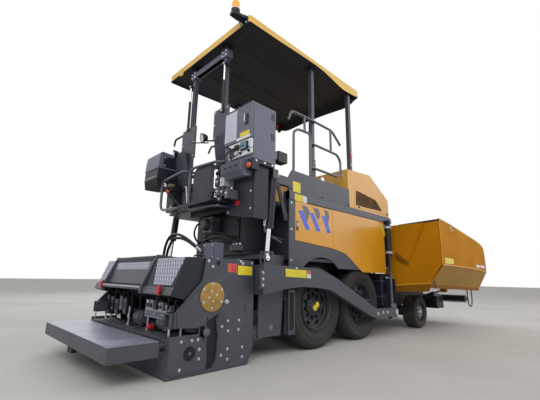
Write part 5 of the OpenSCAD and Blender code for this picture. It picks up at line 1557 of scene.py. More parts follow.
class PAVER_OT_screed_gear(bpy.types.Operator):
    """Motors, valves, blocks and boxes under and on the covers"""

    bl_idname = "paver.screed_gear"
    bl_label = "Screed gear"

    def execute(self, context):
        gear = Piece("screed_gear", "screed", 0.002)
        gear.boxes("dull_silver", -1800, -600, 418, -1700, -185, 490)
        gear.boxes("console", -1806, -585, 428, -1798, -200, 480)
        gear.bolts([(-1.806, y, 0.454) for y in (-0.56, -0.4, -0.23)], BACK)
        for y0, y1, z0, z1 in ((-0.31, -0.16, 0.49, 0.572), (-0.505, -0.42, 0.49, 0.56),
                (-0.64, -0.56, 0.49, 0.545)):
            gear.add(box((-1.785, y0, z0), (-1.7, y1, z1)), "dull_silver")
            gear.add(box((-1.795, y0 + 0.015, z0 + 0.015), (-1.784, y1 - 0.015, z1 - 0.03)),
                "black_plastic")
            gear.add(bar((-1.784, (y0 + y1) / 2, z1 - 0.015), (-1.8, (y0 + y1) / 2, z1 - 0.015), 0.01,
                16), "bolt")
        for x, y in ((-1.74, 0.02), (-1.74, -0.5)):
            spot = x, y - 0.1, 0.385
            gear.turned("cast", spot, LEFT, 36, 0, 0, 48, 0, 52, 6, 52, 30, 78, 34, 78, 50, 60, 54,
                60, 120, 70, 124, 70, 140, 50, 150, 50, 190, 30, 200, 0, 200)
            gear.bolts(circle(6, (x, spot[1] + 0.034, 0.385), 0.066), RIGHT, 0.014)
        gear.turned("red", (-1.8, -0.37, 0.34), BACK, 24, 0, 50, 22, 50, 26, 42, 26, 0, 0, 0)
        gear.boxes("black_plastic", -1790, -410, 310, -1700, -330, 372)
        for y0, y1, z0, z1, finish in ((0.27, 0.36, 0.4, 0.56, "dark"), (0.39, 0.47, 0.43, 0.575, "cast"),
                (0.5, 0.6, 0.38, 0.54, "dark"), (0.64, 0.72, 0.4, 0.56, "black_plastic"),
                (0.76, 0.88, 0.36, 0.57, "dark")):
            gear.add(box((-1.8, y0, z0), (-1.69, y1, z1)), finish)
            gear.bolts([(-1.8, (y0 + y1) / 2, z) for z in (z0 + 0.03, z1 - 0.03)], BACK, 0.016)
            gear.add(bar((-1.745, (y0 + y1) / 2, z0), (-1.745, (y0 + y1) / 2, z0 - 0.045), 0.014, 12),
                "bolt")
        for y in (-0.86, -0.245, 0.2, 0.86):
            gear.add(bar((-1.79, y, 0.055), (-1.79, y, 0.48), 0.009, 12), "dull_silver")
            gear.turned("bolt", (-1.79, y, 0.3), UP, 6, 0, 0, 18, 0, 18, 20, 0, 20)
        for y in (-0.75, -0.05, 0.45):
            gear.turned("cast", (-1.64, y, 0.735), UP, 24, 0, 0, 30, 0, 30, 70, 22, 74, 22, 100, 0, 100)
        for k, y in enumerate((-0.8, -0.68, -0.46, -0.1, 0.1, 0.34, 0.56, 0.8)):
            route = [(-1.73, y, 0.56), (-1.8, y + 0.02, 0.6 + 0.006 * k), (-1.78, y + 0.07, 0.5),
                (-1.76, y + 0.1, 0.42)]
            gear.add(tube(smooth_line(route, 8), 0.01, 10), "hose")
        gear.add(tube(smooth_line(mm(-1800, 150, 340, -1840, 50, 310, -1860, -80, 300, -1820, -200, 330,
            row=3), 10), 0.009, 10), "hose")
        gear.build()

        boxes = Piece("screed_boxes", "screed", 0.003)
        boxes.boxes("console", -1345, -650, 966, -1230, -450, 1148, -1350, -640, 990, -1344, -460, 1135)
        boxes.bolts([(-1.35, y, z) for y in (-0.625, -0.475) for z in (1.005, 1.12)], BACK, 0.014, 0.006)
        boxes.boxes("dark", -1360, -430, 966, -1260, -350, 1060)
        boxes.bolts([(-1.31, -0.39, 1.06)], UP, 0.03, 0.02)
        boxes.boxes("dark", -1440, 190, 966, -1360, 310, 990)
        boxes.build()
        return {"FINISHED"}


# Operator's platform


def handle(a, b, out, radius):
    """Bow handle: from a, out, along to b and back in."""
    a, b, out = (np.asarray(v, float) for v in (a, b, out))
    return tube(round_bends([a, a + out, b + out, b], 3 * radius, 5), radius, 10)


class PAVER_OT_right_console(bpy.types.Operator):
    """Right console: cabinet, lid with its latch, instrument panel, button box and lever box"""

    bl_idname = "paver.right_console"
    bl_label = "Right console"

    def execute(self, context):
        body = Piece("cabinet_details", "tractor", 0.002)
        body.add(rounded_plate((0.375, 0.165), (-1.262, -0.905, 2.11), 0.018, 0.012, "x"), "blank_white")
        for y, z, w, h, finish in ((-0.985, 2.125, 0.11, 0.09, "black_plastic"),
                (-0.985, 2.125, 0.09, 0.07, "screen"), (-0.86, 2.135, 0.07, 0.06, "black_plastic"),
                (-0.79, 2.085, 0.08, 0.08, "black_plastic"), (-0.865, 2.07, 0.05, 0.04, "dull_silver")):
            depth = 0.03 if finish == "black_plastic" else 0.036
            body.add(rounded_plate((w, h), (-1.262 - depth / 2 + 0.004, y, z), depth, 0.008, "x"), finish)
        for y, z in ((-1.055, 2.06), (-0.925, 2.06), (-0.745, 2.15), (-0.765, 2.045)):
            body.turned("black_plastic", (-1.271, y, z), BACK, 20, 0, 22, 10, 22, 13, 18, 13, 4, 18, 0,
                0, 0)
        for y in (-1.075, -0.735):
            body.bolts([(-1.271, y, z) for z in (2.04, 2.18)], BACK, 0.012, 0.006)
        lever_box = mm(-1345, 1955, -1250, 1985, -1170, 1985, -1170, 1820, -1290, 1800, -1345, 1860)
        body.add(prism(lever_box, -1.015, -0.69), "console")
        body.plate("grey", -1, -0.705, -1349, 1948, -1340, 1948, -1340, 1868, -1349, 1868)
        for y in (-0.95, -0.86, -0.77):
            body.add(bar((-1.347, y, 1.905), (-1.362, y, 1.905), 0.009, 14), "black_plastic")
        body.turned("orange_red", (-1.262, -1.069, 1.9), BACK, 32, 0, 34, 22, 34, 30, 28, 30, 16, 20, 14,
            20, -10, 0, -10)
        body.boxes("dark", -1262, -1100, 1862, -1170, -1030, 1940, -1246, -1090, 1940, -935, -625, 1985)
        body.bolts([(x, -1.091, 1.962) for x in (-1.2, -1.08, -0.97)], RIGHT)
        pane = mm(-1055, 1950, -600, 1950, -600, 1460, -900, 1400, -1055, 1380)
        body.add(prism(pane, -1.185, -0.99, "x"), "dark")
        inner = mm(-1030, 1900, -625, 1900, -625, 1500, -900, 1440, -1030, 1420)
        body.add(prism(inner, -1.189, -1.18, "x"), "chassis")
        for y in (-1.01, -0.65):
            body.bolts([(-1.189, y, z) for z in (1.48, 1.66, 1.86)], BACK)
        body.add(rounded_plate((0.06, 0.05), (-1.191, -0.8, 1.56), 0.006, 0.01, "x"), "red")
        for z0, z1 in ((2.24, 2.32), (2.47, 2.55)):
            for x in (-0.99, -0.96):
                body.add(box((x - 0.006, -1.099, z0), (x + 0.006, -1.094, z1)), "black_plastic")
        for x in (-1.22, -0.96):
            body.add(bolts([(x, -1.095, z) for z in (2.03, 2.56)], RIGHT, 0.014, 0.005), "console")
        body.boxes("console", -1248, -640, 2602, -935, -630, 2612)
        body.build()

        lid = Piece("lid_details", "console_lid", 0.0015)
        face = -1.277
        lid.add(box((face - 0.003, -0.848, 2.232), (face + 0.001, -0.648, 2.572)), "label_sheet")
        lid.bolts([(face - 0.003, y, z) for y in (-0.66, -0.836) for z in (2.245, 2.56)], BACK, 0.009,
            0.004)
        lid.add(rounded_plate((0.052, 0.12), (face, -1.01, 2.42), 0.01, 0.012, "x"), "black_plastic")
        lid.add(handle((face - 0.002, -1.01, 2.465), (face - 0.002, -1.01, 2.378), (-0.03, 0, 0), 0.0055),
            "chrome")
        lid.add(rounded_plate((0.15, 0.05), (face - 0.001, -0.985, 2.262), 0.004, 0.008, "x"),
            "blank_yellow")
        lid.add(rounded_plate((0.22, 0.034), (face - 0.001, -0.965, 2.222), 0.004, 0.006, "x"),
            "blank_white")
        lid.add(frame_strip(mm(-1088, 2209, -650, 2209, -650, 2591, -1088, 2591), 0.006, face - 0.002,
            face + 0.002, "x"), "console")
        lid.build()
        return {"FINISHED"}


class PAVER_OT_left_console(bpy.types.Operator):
    """Left console: light lid over a dark housing, with buttons and connectors below"""

    bl_idname = "paver.left_console"
    bl_label = "Left console"

    def execute(self, context):
        desk = Piece("left_cabinet", "tractor", 0.006)
        desk.plate("dark", 0.65, 1.035, -1418, 2080, -1410, 2230, -1020, 2230, -1020, 2080)
        desk.plate("console", 0.642, 1.043, -1418, 2225, -1400, 2430, -1375, 2462, -1090, 2442,
            -1020, 2360, -1020, 2225)
        # near-black plate under the housing: painted shade
        desk.plate("void", 0.655, 1.03, -1416, 2078, -1020, 2078, -1040, 2020, -1200, 1980, -1400, 1975)
        desk.boxes("dark", -1350, 634, 2250, -1090, 645, 2400)
        desk.bolts([(x, 0.634, z) for x in (-1.33, -1.11) for z in (2.27, 2.38)], RIGHT, 0.016, 0.006)
        desk.boxes("dull_silver", -1421, 690, 2110, -1414, 1000, 2120)
        for y in (0.72, 0.97):
            desk.bolts([(-1.412, y, 2.38)], BACK, 0.016, 0.006)
        desk.add(rounded_plate((0.12, 0.08), (-1.2, 0.84, 2.456), 0.012, 0.01, "z"), "black_plastic")
        desk.add(rounded_plate((0.1, 0.06), (-1.2, 0.84, 2.459), 0.012, 0.008, "z"), "screen")
        for k, (x, y) in enumerate(mm(-1300, 740, -1300, 800, -1300, 860, -1300, 920, -1120, 740,
                -1120, 940)):
            desk.add(bar((x, y, 2.43), (x, y, 2.472 + 0.006 * (k % 3)), 0.01, 16),
                ("black_plastic", "red", "blank_yellow")[k % 3])
        desk.boxes("dark", -1160, 650, 1660, -1010, 830, 2020)
        desk.build("console_l")

        plugs = Piece("left_plugs", "tractor", 0.002)
        plugs.boxes("beige", -1290, 560, 1955, -1200, 645, 2010)
        plugs.boxes("dark", -1285, 470, 1900, -1180, 600, 1960)
        plugs.turned("orange_red", (-1.288, 0.535, 1.895), (-1, 0, -0.3), 28, 0, 36, 20, 36, 26, 30,
            26, 18, 18, 14, 18, -10, 0, -10)
        plugs.boxes("black_plastic", -1290, 500, 1830, -1200, 575, 1880,
            -1240, 480, 1660, -1100, 620, 1910)
        plugs.build()
        return {"FINISHED"}


POST_PLATES = (-0.515, -0.215, 2.43, 2.83), (0.2, 0.54, 2.33, 2.78)


class PAVER_OT_platform_gear(bpy.types.Operator):
    """Guards behind the seats, post plates, lamps, levers and hooks"""

    bl_idname = "paver.platform_gear"
    bl_label = "Platform gear"

    def execute(self, context):
        guards = Piece("seat_guards", "tractor")
        rear, front = -1.345, -1.15
        for s, low, in_y, out_y in ((1, 1.64, 0.075, 0.62), (-1, 1.56, 0.075, 0.64)):
            loop = [(front, s * out_y, 2.04), (rear, s * (out_y - 0.02), 2.03), (rear, s * in_y, 2.06),
                (rear, s * in_y, low), (rear, s * (out_y - 0.02), low - 0.02),
                (front, s * out_y, low - 0.01)]
            if s == 1:
                loop = [(front, s * in_y, 2.075), (rear, s * in_y, 2.07), (rear, s * out_y, 2.035),
                    (rear, s * out_y, low), (rear, s * in_y, low - 0.03), (front, s * in_y, low - 0.03)]
            guards.add(smooth_rail(loop, 0.1), "rail_grey")
        panel = rounded_loop(0.2, 0.215, 0.09, 6, 8) + (-0.33, 1.83)
        guards.add(prism(panel, rear + 0.014, rear + 0.03, "x"), "seat")
        guards.add(prism(rounded_loop(0.17, 0.185, 0.075, 6, 8) + (-0.33, 1.83), rear + 0.008,
            rear + 0.02, "x"), "seat")
        for z in (1.7, 1.96):
            guards.add(bar((rear + 0.02, -0.08, z), (rear + 0.02, -0.6, z), 0.01, 12), "black_plastic")
        guards.boxes("dark", -1420, -640, 1578, -1100, 50, 1610, -1200, -590, 1610, -1110, -110, 1650,
            -1200, 50, 1590, -1150, 640, 1612)
        guards.build("seat_frames")

        gear = Piece("platform_gear", "tractor", 0.002)
        for y0, y1, z0, z1 in POST_PLATES:
            gear.add(box((-1.15, y0, z0), (-1.134, y1, z1)), "grey")
            gear.add(box((-1.16, y0, z0), (-1.134, y0 + 0.012, z1)), "grey")
            spots = [(-1.151, y, z) for y in (y0 + 0.03, y1 - 0.03) for z in (z0 + 0.03, (z0 + z1) / 2,
                z1 - 0.03)]
            gear.bolts(spots, BACK, 0.016)
        gear.add(tube(round_bends(mm(-1140, 540, 2735, -1140, 760, 2735, -1140, 775, 2640, row=3), 0.07,
            8), 0.014, 14), "black_plastic")
        for (x, y, z), aim in (((-1.19, -0.035, 2.52), (-1, 0.25, -0.3)),
                ((-1.22, 0.61, 2.455), (-1, 0.35, -0.25)), ((-1.3, 0.42, 1.65), (-1, 0.1, -0.2))):
            size = 0.062 if z > 2 else 0.04
            gear.add(work_lamp((x, y, z), aim, size), "black_plastic")
            gear.add(work_lamp_glass((x, y, z), aim, size), "glass")
        gear.add(tube(round_bends(mm(-1190, -35, 2520, -1130, -30, 2500, -1120, -180, 2460,
            -1130, -330, 2460, row=3), 0.04), 0.01, 12), "black_plastic")
        gear.add(tube(round_bends(mm(-1220, 610, 2455, -1170, 580, 2430, -1140, 500, 2400, row=3), 0.03),
            0.01, 12), "black_plastic")
        gear.add(tube(round_bends(mm(-1300, 420, 1650, -1220, 420, 1640, -1200, 420, 1580, row=3), 0.03),
            0.009, 12), "black_plastic")
        gear.add(bar((-1.15, -0.12, 2.44), (-1.15, 0.3, 2.56), 0.008, 10), "black_plastic")
        gear.plate("dark", -1.165, -1.135, -590, 2430, -400, 2430, -330, 2180, -430, 1980, -560, 1990,
            -640, 2200, along="x")
        gear.plate("grey", -1.15, -1.132, 230, 2330, 500, 2330, 470, 2100, 400, 1660, 320, 1660,
            260, 2100, along="x")
        gear.bolts([(-1.15, 0.365, z) for z in (1.75, 1.95, 2.15)], BACK)
        cluster = ((-0.64, -0.56, 1.755, 1.85, "black_plastic"),
            (-0.72, -0.65, 1.74, 1.845, "dull_silver"), (-0.64, -0.57, 1.65, 1.74, "cast"),
            (-0.73, -0.65, 1.63, 1.725, "black_plastic"), (-0.69, -0.6, 1.57, 1.63, "dark"),
            (-0.8, -0.74, 1.6, 1.7, "cast"))
        for y0, y1, z0, z1, finish in cluster:
            gear.add(box((-1.32, y0, z0), (-1.18, y1, z1)), finish)
            gear.add(bar((-1.25, (y0 + y1) / 2, z1), (-1.25, (y0 + y1) / 2, z1 + 0.022), 0.016, 14),
                "bolt")
            gear.bolts([(-1.32, (y0 + y1) / 2, (z0 + z1) / 2)], BACK, 0.024, 0.014)
        for y, tilt in ((-0.54, 0.04), (-0.5, -0.02), (0.12, 0.05)):
            gear.add(bar((-1.24, y, 1.62), (-1.25, y + tilt, 1.92), 0.007, 10), "bolt")
            gear.turned("black_plastic", (-1.251, y + tilt, 1.935), UP, 24, 0, -28, 14, -22, 21, -6,
                20, 10, 12, 22, 0, 26)
        gear.boxes("dark", -1010, -1040, 2300, -930, -965, 2352, -935, -990, 2120, -760, -960, 2150)
        gear.boxes("black_plastic", -840, -1055, 2060, -700, -950, 2180)
        gear.add(rounded_plate((0.088, 0.1), (-0.845, -1.003, 2.12), 0.012, 0.01, "x"), "black_plastic")
        gear.add(rounded_plate((0.074, 0.086), (-0.85, -1.003, 2.12), 0.01, 0.008, "x"), "glass")
        for z in (2.08, 2.1, 2.12, 2.14, 2.16):
            gear.add(box((-0.7, -1.05, z - 0.004), (-0.688, -0.955, z + 0.004)), "black_plastic")
        arm = mm(-790, 1975, -745, 1975, -560, 1500, -560, 1440, -610, 1440)
        gear.add(prism(arm, -0.936, -0.922), "dark")
        gear.plate("blank_yellow", -0.939, -0.934, -690, 1866, -640, 1862, -617, 1945, -668, 1953)
        gear.turned("blank_white", (-0.74, -0.936, 1.94), RIGHT, 24, 0, 12, 22, 12, 26, 6, 26, 0, 0, 0)
        gear.build()
        return {"FINISHED"}


SEATS = ("r", -0.48, 14.0), ("l", 0.47, -14.0)


def cushion(size, centre, crown, steps=28):
    """Crowned pad as a squashed superellipsoid, whose top bulges by the crown between two seams."""
    u = np.linspace(-np.pi / 2, np.pi / 2, steps)[:, None]
    v = np.linspace(0, 2 * np.pi, 2 * steps, endpoint=False)[None]

    def power(value, e):
        return np.sign(value) * np.abs(value)**e

    x = power(np.cos(u), 0.35) * power(np.cos(v), 0.42)
    y = power(np.cos(u), 0.35) * power(np.sin(v), 0.42)
    z = power(np.sin(u), 0.75) * np.ones_like(v)
    seam = 0.018 * np.exp(-((abs(y) - 0.55) / 0.035)**2) * (z > 0)
    top = z * size[2] / 2 + np.where(z > 0, crown * (1 - x**2) * (1 - y**2) - seam, 0)
    points = np.stack([x * size[0] / 2 + centre[0], y * size[1] / 2 + centre[1], top + centre[2]], -1)
    return points.reshape(-1, 3), grid_faces(steps, 2 * steps, close_columns=True)


def leaned(shape, pivot, angle, axis="y"):
    """The shape turned by the angle in degrees about an axis through the pivot."""
    points, faces = shape
    turn = np.array(Matrix.Rotation(math.radians(angle), 3, axis.upper()))
    return (points - pivot) @ turn.T + pivot, faces


class PAVER_OT_seats(bpy.types.Operator):
    """Two operator's seats on pedestals"""

    bl_idname = "paver.seats"
    bl_label = "Seats"

    def execute(self, context):
        for letter, y, yaw in SEATS:
            pivot = np.array([-0.9, y, 0.0])
            stand = Piece(f"seat_stand_{letter}", "tractor", 0.003)
            for shape, finish in ((box((-1.06, y - 0.17, 1.65), (-0.74, y + 0.17, 1.672)), "dark"),
                    (lathe(mm(0, 1672, 60, 1672, 52, 1700, 52, 1860, 75, 1880, 0, 1880), (-0.9, y, 0), UP,
                    32), "dark"), (box((-1.08, y - 0.19, 1.88),
                    (-0.71, y + 0.19, 1.915)), "black_plastic"), (box((-1.15, y - 0.16, 1.905),
                    (-1.07, y + 0.16, 1.945)), "black_plastic")):
                stand.add(leaned(shape, pivot, yaw, "z"), finish)
            for s in (-1, 1):
                rest = tube(round_bends([(-1.105, y + s * 0.235, 2.085), (-0.9, y + s * 0.24, 2.1),
                    (-0.86, y + s * 0.24, 2.1)], 0.03), 0.024, 16)
                stand.add(leaned(rest, pivot, yaw, "z"), "black_plastic")
            stand.build()
            pads = (("cushion", cushion((0.44, 0.43, 0.1), (-0.895, y, 1.965), 0.018), 0.0),
                ("back", cushion((0.48, 0.42, 0.09), (-0.86, y, 1.99), 0.016), -102.0))
            for name, shape, lean in pads:
                if lean:
                    shape = leaned(shape, np.array([-1.09, y, 2.0]), lean)
                pad = Piece(f"seat_{name}_{letter}", "tractor")
                pad.add(leaned(shape, pivot, yaw, "z"), "seat")
                pad.build()
        return {"FINISHED"}


# Rear of the tractor, hoses and auger channel


def declare_cord(piece):
    piece.build()


def free_hose(name, body, points, radius):
    """A hose of its own through the points, with a sleeve at each end."""
    line = smooth_line(points, 30 // (len(points) - 1))
    piece = Piece(name, body)
    piece.add(tube(line, radius, 12), "hose")
    piece.add(sleeve(line[0], line[1], radius), "bolt")
    piece.add(sleeve(line[-1], line[-2], radius), "bolt")
    declare_cord(piece)


class PAVER_OT_rear_gear(bpy.types.Operator):
    """Housing over the rear drive, its valves, pipes and rods, and the auger's end channels"""

    bl_idname = "paver.rear_gear"
    bl_label = "Rear gear"

    def execute(self, context):
        house = Piece("drive_cover", "tractor", 0.008)
        house.boxes("chassis", -900, -600, 1050, -545, 340, 1580, -700, 330, 1050, -545, 600, 1600)
        house.boxes("dark", -1080, -560, 1530, -880, 300, 1608, -912, -500, 1150, -898, 200, 1480)
        for y in (-0.47, -0.15, 0.17):
            house.add(bolts([(-0.912, y, z) for z in (1.18, 1.45)], BACK, 0.022), "black_bolt")
        house.boxes("cast", -1030, -120, 1330, -890, 80, 1520)
        house.turned("cast", (-1.03, -0.02, 1.425), BACK, 32, 0, 70, 55, 70, 60, 60, 60, 0, 75, 0,
            75, -20, 0, -20)
        house.build("rear_housing")

        gear = Piece("rear_gear", "tractor", 0.002)
        for y in (-0.44, -0.5, -0.56):
            gear.add(box((-0.97, y - 0.024, 1.095), (-0.88, y + 0.024, 1.16)), "cast")
            gear.add(bar((-0.935, y, 1.16), (-0.935, y, 1.182), 0.014, 14), "bolt")
        gear.add(tube(round_bends(mm(-994, -1000, 1797, -975, -995, 1550, -963, -985, 1320,
            -900, -930, 1280, row=3), 0.05), 0.011, 12), "dull_silver")
        gear.add(sleeve(np.array((-0.963, -0.985, 1.34)), np.array((-0.965, -0.986, 1.4)), 0.013), "bolt")
        gear.add(bar((-0.819, -0.95, 1.23), (-0.676, -0.95, 1.181), 0.009, 12), "cast")
        gear.add(tube(round_bends(mm(-900, -930, 1280, -800, -920, 1240, -600, -900, 1220, row=3), 0.06),
            0.011, 12), "hose")
        for points, radius in ((mm(-900, -20, 1190, -1060, -50, 1240, -1090, -174, 1299,
                -1060, -330, 1300, -900, -430, 1240, row=3), 0.013), (mm(-900, 60, 1190, -1040, 20, 1215,
                -1080, -130, 1235, -1030, -330, 1240, -955, -440, 1180,
                row=3), 0.012), (mm(-900, 180, 1480, -1000, 250, 1450, -980, 320, 1300, -800, 330, 1150,
                row=3), 0.012)):
            for shape in hose_between(points, radius):
                gear.add(shape, "hose")
        gear.both(prism(mm(-529, 207, -415, 207, -415, 677, -529, 677), -0.926, -0.914), "stripe_grey")
        gear.boxes_both("grey", -529, -926, 207, -517, -860, 677, -427, -926, 207, -415, -860, 677)
        # near-black box inside the channel: painted shade in the recess
        gear.boxes_both("void", -504, -927.5, 256, -439, -922, 644)
        gear.boxes_both("grey", -560, -900, 560, -420, -600, 620)
        gear.build()
        return {"FINISHED"}


class PAVER_OT_hoses(bpy.types.Operator):
    """Hoses that hang free between two fittings"""

    bl_idname = "paver.hoses"
    bl_label = "Free hoses"

    def execute(self, context):
        for k, shift in enumerate((0.0, 0.038)):
            side = "ab"[k]
            free_hose(f"screed_hose_{side}", "screed",
                [(-1.4 - shift, 0.25, 0.968), (-1.4 - shift, 0.205, 1.12 + shift),
                (-1.4 - shift, 0.08, 1.225 + shift), (-1.39 - shift, -0.15, 1.2 + shift),
                (-1.35 - shift / 2, -0.43, 1.06 + shift / 2)], 0.015)
            free_hose(f"guard_hose_{side}", "tractor",
                [(-1.33, 0.615 - shift, 2), (-1.29, 0.56 - shift, 1.87), (-1.22, 0.46 - shift, 1.74),
                (-1.16, 0.4 - shift, 1.66), (-1.12, 0.356 - shift, 1.625)], 0.011)
        free_hose("console_hose", "tractor", mm(-1262, -605, 2040, -1280, -680, 2105, -1290, -820, 2130,
            -1290, -980, 2126, -1265, -1090, 2085, row=3), 0.0075)
        return {"FINISHED"}


# Hopper

WING_X = 1.995, 4.25
WING_TOP = mm(1995, 1719, 2400, 1690, 3300, 1588, 3880, 1518, 4180, 1440, 4240, 1320)
WING_FRONT = mm(4252, 1120, 4244, 980, 4190, 690)
WING_PLATE = 0.016
WING_IN_Y, WING_HINGE_Y, WING_EYE_Y = -0.69, 0.64, 1.15
WING_HINGES = 2.2, 2.95, 3.82
BASE_EDGE = mm(-1461, 1662, -1189, 1092, -1008, 1230)


def wing_sheet(points, out):
    """Sheet between two lines of points, thickened along out."""
    a, b = (np.asarray(line, float) for line in points)
    grid = np.stack([a, b])
    return shell(grid, grid + np.asarray(out, float))


class PAVER_OT_wings(bpy.types.Operator):
    """Hopper wings: outer sheet, lower sheet with painted light reflected up from the ground, rear wall,
    lips in a lighter yellow as painted highlight, hinge barrels and lugs; the parts underneath carry painted
    shade
    """

    bl_idname = "paver.wings"
    bl_label = "Hopper wings"

    def execute(self, context):
        for letter, side in SIDES:
            wing = Piece(f"hopper_wing_{letter}", f"wing_{letter}", 0.003, side)
            out_y, bend_y, in_y = -1.697, -1.5, WING_IN_Y
            upper = list(WING_TOP) + list(WING_FRONT[:2])
            wing.add(prism([(1.995, 1.035)] + upper, out_y, out_y + WING_PLATE), "hopper_yellow")
            along = np.linspace(0, 1, 6)
            xs = WING_X[0] + (4.19 - WING_X[0]) * along
            low_y, low_z = bend_y - 0.06 * along, 0.752 - 0.062 * along
            fold = np.stack([WING_X[0] + (4.25 - WING_X[0]) * along, np.full(6, out_y),
                1.035 - 0.055 * along**3], 1)
            low = np.stack([xs, low_y, low_z], 1)
            # the lower sheet takes the paler tan copy of the hopper paint: painted ground-reflected light
            wing.add(wing_sheet((fold, low), (0, WING_PLATE * 0.8, WING_PLATE * 0.6)), "hopper_low")
            # the inner floor sheet and the skirt under the bend take the dark amber copy: painted shade
            # under the wing
            floor = np.stack([np.minimum(xs, 3.96), np.full(6, in_y), np.full(6, 0.69)], 1)
            wing.add(wing_sheet((low, floor), (0, 0, WING_PLATE)), "hopper_shade")
            skirt = low - (0, -0.012, 0.062)
            wing.add(wing_sheet((low, skirt), (0, WING_PLATE * 0.6, 0)), "hopper_shade")
            wing.add(tube(low + (0, 0.004, 0.002), 0.009, 10), "hopper_yellow")
            # the fold, the top edge and the rear corner get tubes in the lighter hood yellow: painted
            # highlight along the wing's rims
            wing.add(tube(fold + (0, 0.005, 0), 0.009, 10), "hood_yellow")
            edge = np.array([(x, out_y + 0.007, z) for x, z in WING_TOP + WING_FRONT[:2]])
            wing.add(tube(smooth_line(edge, 4), 0.011, 10), "hood_yellow")
            # front edge tube in dark amber: painted shade
            wing.add(tube([edge[-1], (4.19, -1.56, 0.7)], 0.01, 10), "hopper_shade")
            wing.add(tube([(2.003, out_y + 0.006, 1.715), (2.003, out_y + 0.006, 1.035)], 0.009, 10),
                "hood_yellow")

            wall = [(in_y, 0.69), (bend_y, 0.752), (out_y, 1.035), (out_y, 1.718), (-1.06, 1.688)]
            wing.add(prism(wall, 1.995, 2.011, "x"), "hopper_yellow")
            wing.plate("dark", 1.993, 1.996, -1060, 1656, -1690, 1690, -1700, 1719, -1060, 1689,
                along="x")
            # lighter strip along the rear wall's lower edge: painted highlight
            wing.add(prism([(in_y, 0.692), (bend_y, 0.754), (bend_y, 0.774), (in_y, 0.712)], 1.993, 1.996,
                "x"), "hood_yellow")
            # dark amber skirt below the rear wall: painted shade
            wing.add(prism([(in_y, 0.69), (bend_y, 0.75), (bend_y + 0.04, 0.64), (in_y, 0.612)], 1.998,
                2.01, "x"), "hopper_shade")
            # hinge barrels and their straps underneath in dark amber: painted shade
            for x in WING_HINGES:
                wing.turned("hopper_shade", (x, -WING_HINGE_Y, 0.665), AHEAD, 32, 27, -92, 38, -92,
                    38, 92, 27, 92, 27, -92)
                wing.add(box((x - 0.092, in_y - 0.02, 0.675), (x + 0.092, -WING_HINGE_Y, 0.695)),
                    "hopper_shade")
            lug = [(-WING_EYE_Y - 0.055, 0.64), (-WING_EYE_Y - 0.04, 0.595), (-WING_EYE_Y + 0.04, 0.595),
                (-WING_EYE_Y + 0.055, 0.64), (-WING_EYE_Y + 0.07, 0.722), (-WING_EYE_Y - 0.07, 0.728)]
            for dx in (-0.03, 0.03):
                wing.add(prism(lug, 3.5 + dx - 0.008, 3.5 + dx + 0.008, "x"), "hopper_yellow")
            wing.add(bar((3.462, -WING_EYE_Y, 0.64), (3.538, -WING_EYE_Y, 0.64), 0.016, 20), "bolt")
            # ribs under the wing in dark amber: painted shade
            for x in (2.45, 3.05, 3.7):
                wing.add(prism([(in_y - 0.02, 0.7), (bend_y + 0.01, 0.756), (bend_y + 0.01, 0.69),
                    (in_y - 0.02, 0.664)], x - 0.006, x + 0.006, "x"), "hopper_shade")

            wing.add(box((2.082, out_y - 0.002, 1.056), (2.459, out_y + 0.002, 1.14)), "blank_yellow")
            for x0, x1, finish in ((3.64, 3.8, "blank_white"), (3.8, 3.96, "red"),
                    (3.96, 4.15, "blank_white")):
                wing.add(box((x0, out_y - 0.003, 1.045), (x1, out_y + 0.002, 1.095)), finish)
            wing.bolts([(2.47, out_y, 1.63), (2.53, out_y, 1.6)], RIGHT, 0.03, 0.007)
            wing.add(bar((2.02, -1.54, 0.8), (2.13, -1.52, 0.7), 0.01, 10), "cast")
            wing.build(f"wing_{letter}")
        return {"FINISHED"}


class PAVER_OT_hopper_details(bpy.types.Operator):
    """Wall edge of the fixed hopper, its brackets and bolts, and bolts on the push beam"""

    bl_idname = "paver.hopper_details"
    bl_label = "Hopper details"

    def execute(self, context):
        wall = Piece("hopper_wall_trim", "tractor", 0.002)
        (ay, az), (by, bz), (cy, cz) = BASE_EDGE
        # dark amber strip under the wall's edge, and its bolts: painted shade where the edge overhangs
        wall.both(prism([(by, bz), (cy, cz), (cy, cz - 0.06), (by - 0.006, bz - 0.036)], 1.94, 1.972,
            "x"), "hopper_shade")
        wall.both(strap([(1.968, ay, az), (1.968, by, bz)], 0.022, 0.01, (0, 0.9, 0.43)), "hopper_yellow")
        wall.both(bolts([(1.939, by + 0.05, bz + 0.006), (1.939, cy - 0.03, cz - 0.05)], BACK, 0.02),
            "hopper_shade")
        for x in (2.05, 2.6, 3.2, 3.8):
            wall.bolts_both([(x, -0.6, 0.672)], RIGHT, 0.03, 0.014)
        wall.both(rounded_plate((0.345, 0.225), (3.772, -0.785, 0.402), 0.365, 0.02, "y"), "dark")
        wall.boxes_both("chassis", 3620, -640, 330, 3920, -588, 480)
        wall.both(bolts([(x, -0.968, z) for x in (3.63, 3.91) for z in (0.32, 0.485)], RIGHT, 0.024),
            "black_bolt")
        wall.build()

        beam = Piece("push_beam_details", "push_beam", 0.002)
        for y in (-1.2, -0.9, -0.6, -0.3):
            beam.both(bolts([(4.055 - 0.033, y, z) for z in (0.455, 0.505)], BACK, 0.026), "black_bolt")
        beam.build()
        return {"FINISHED"}


# Front, floor and underside


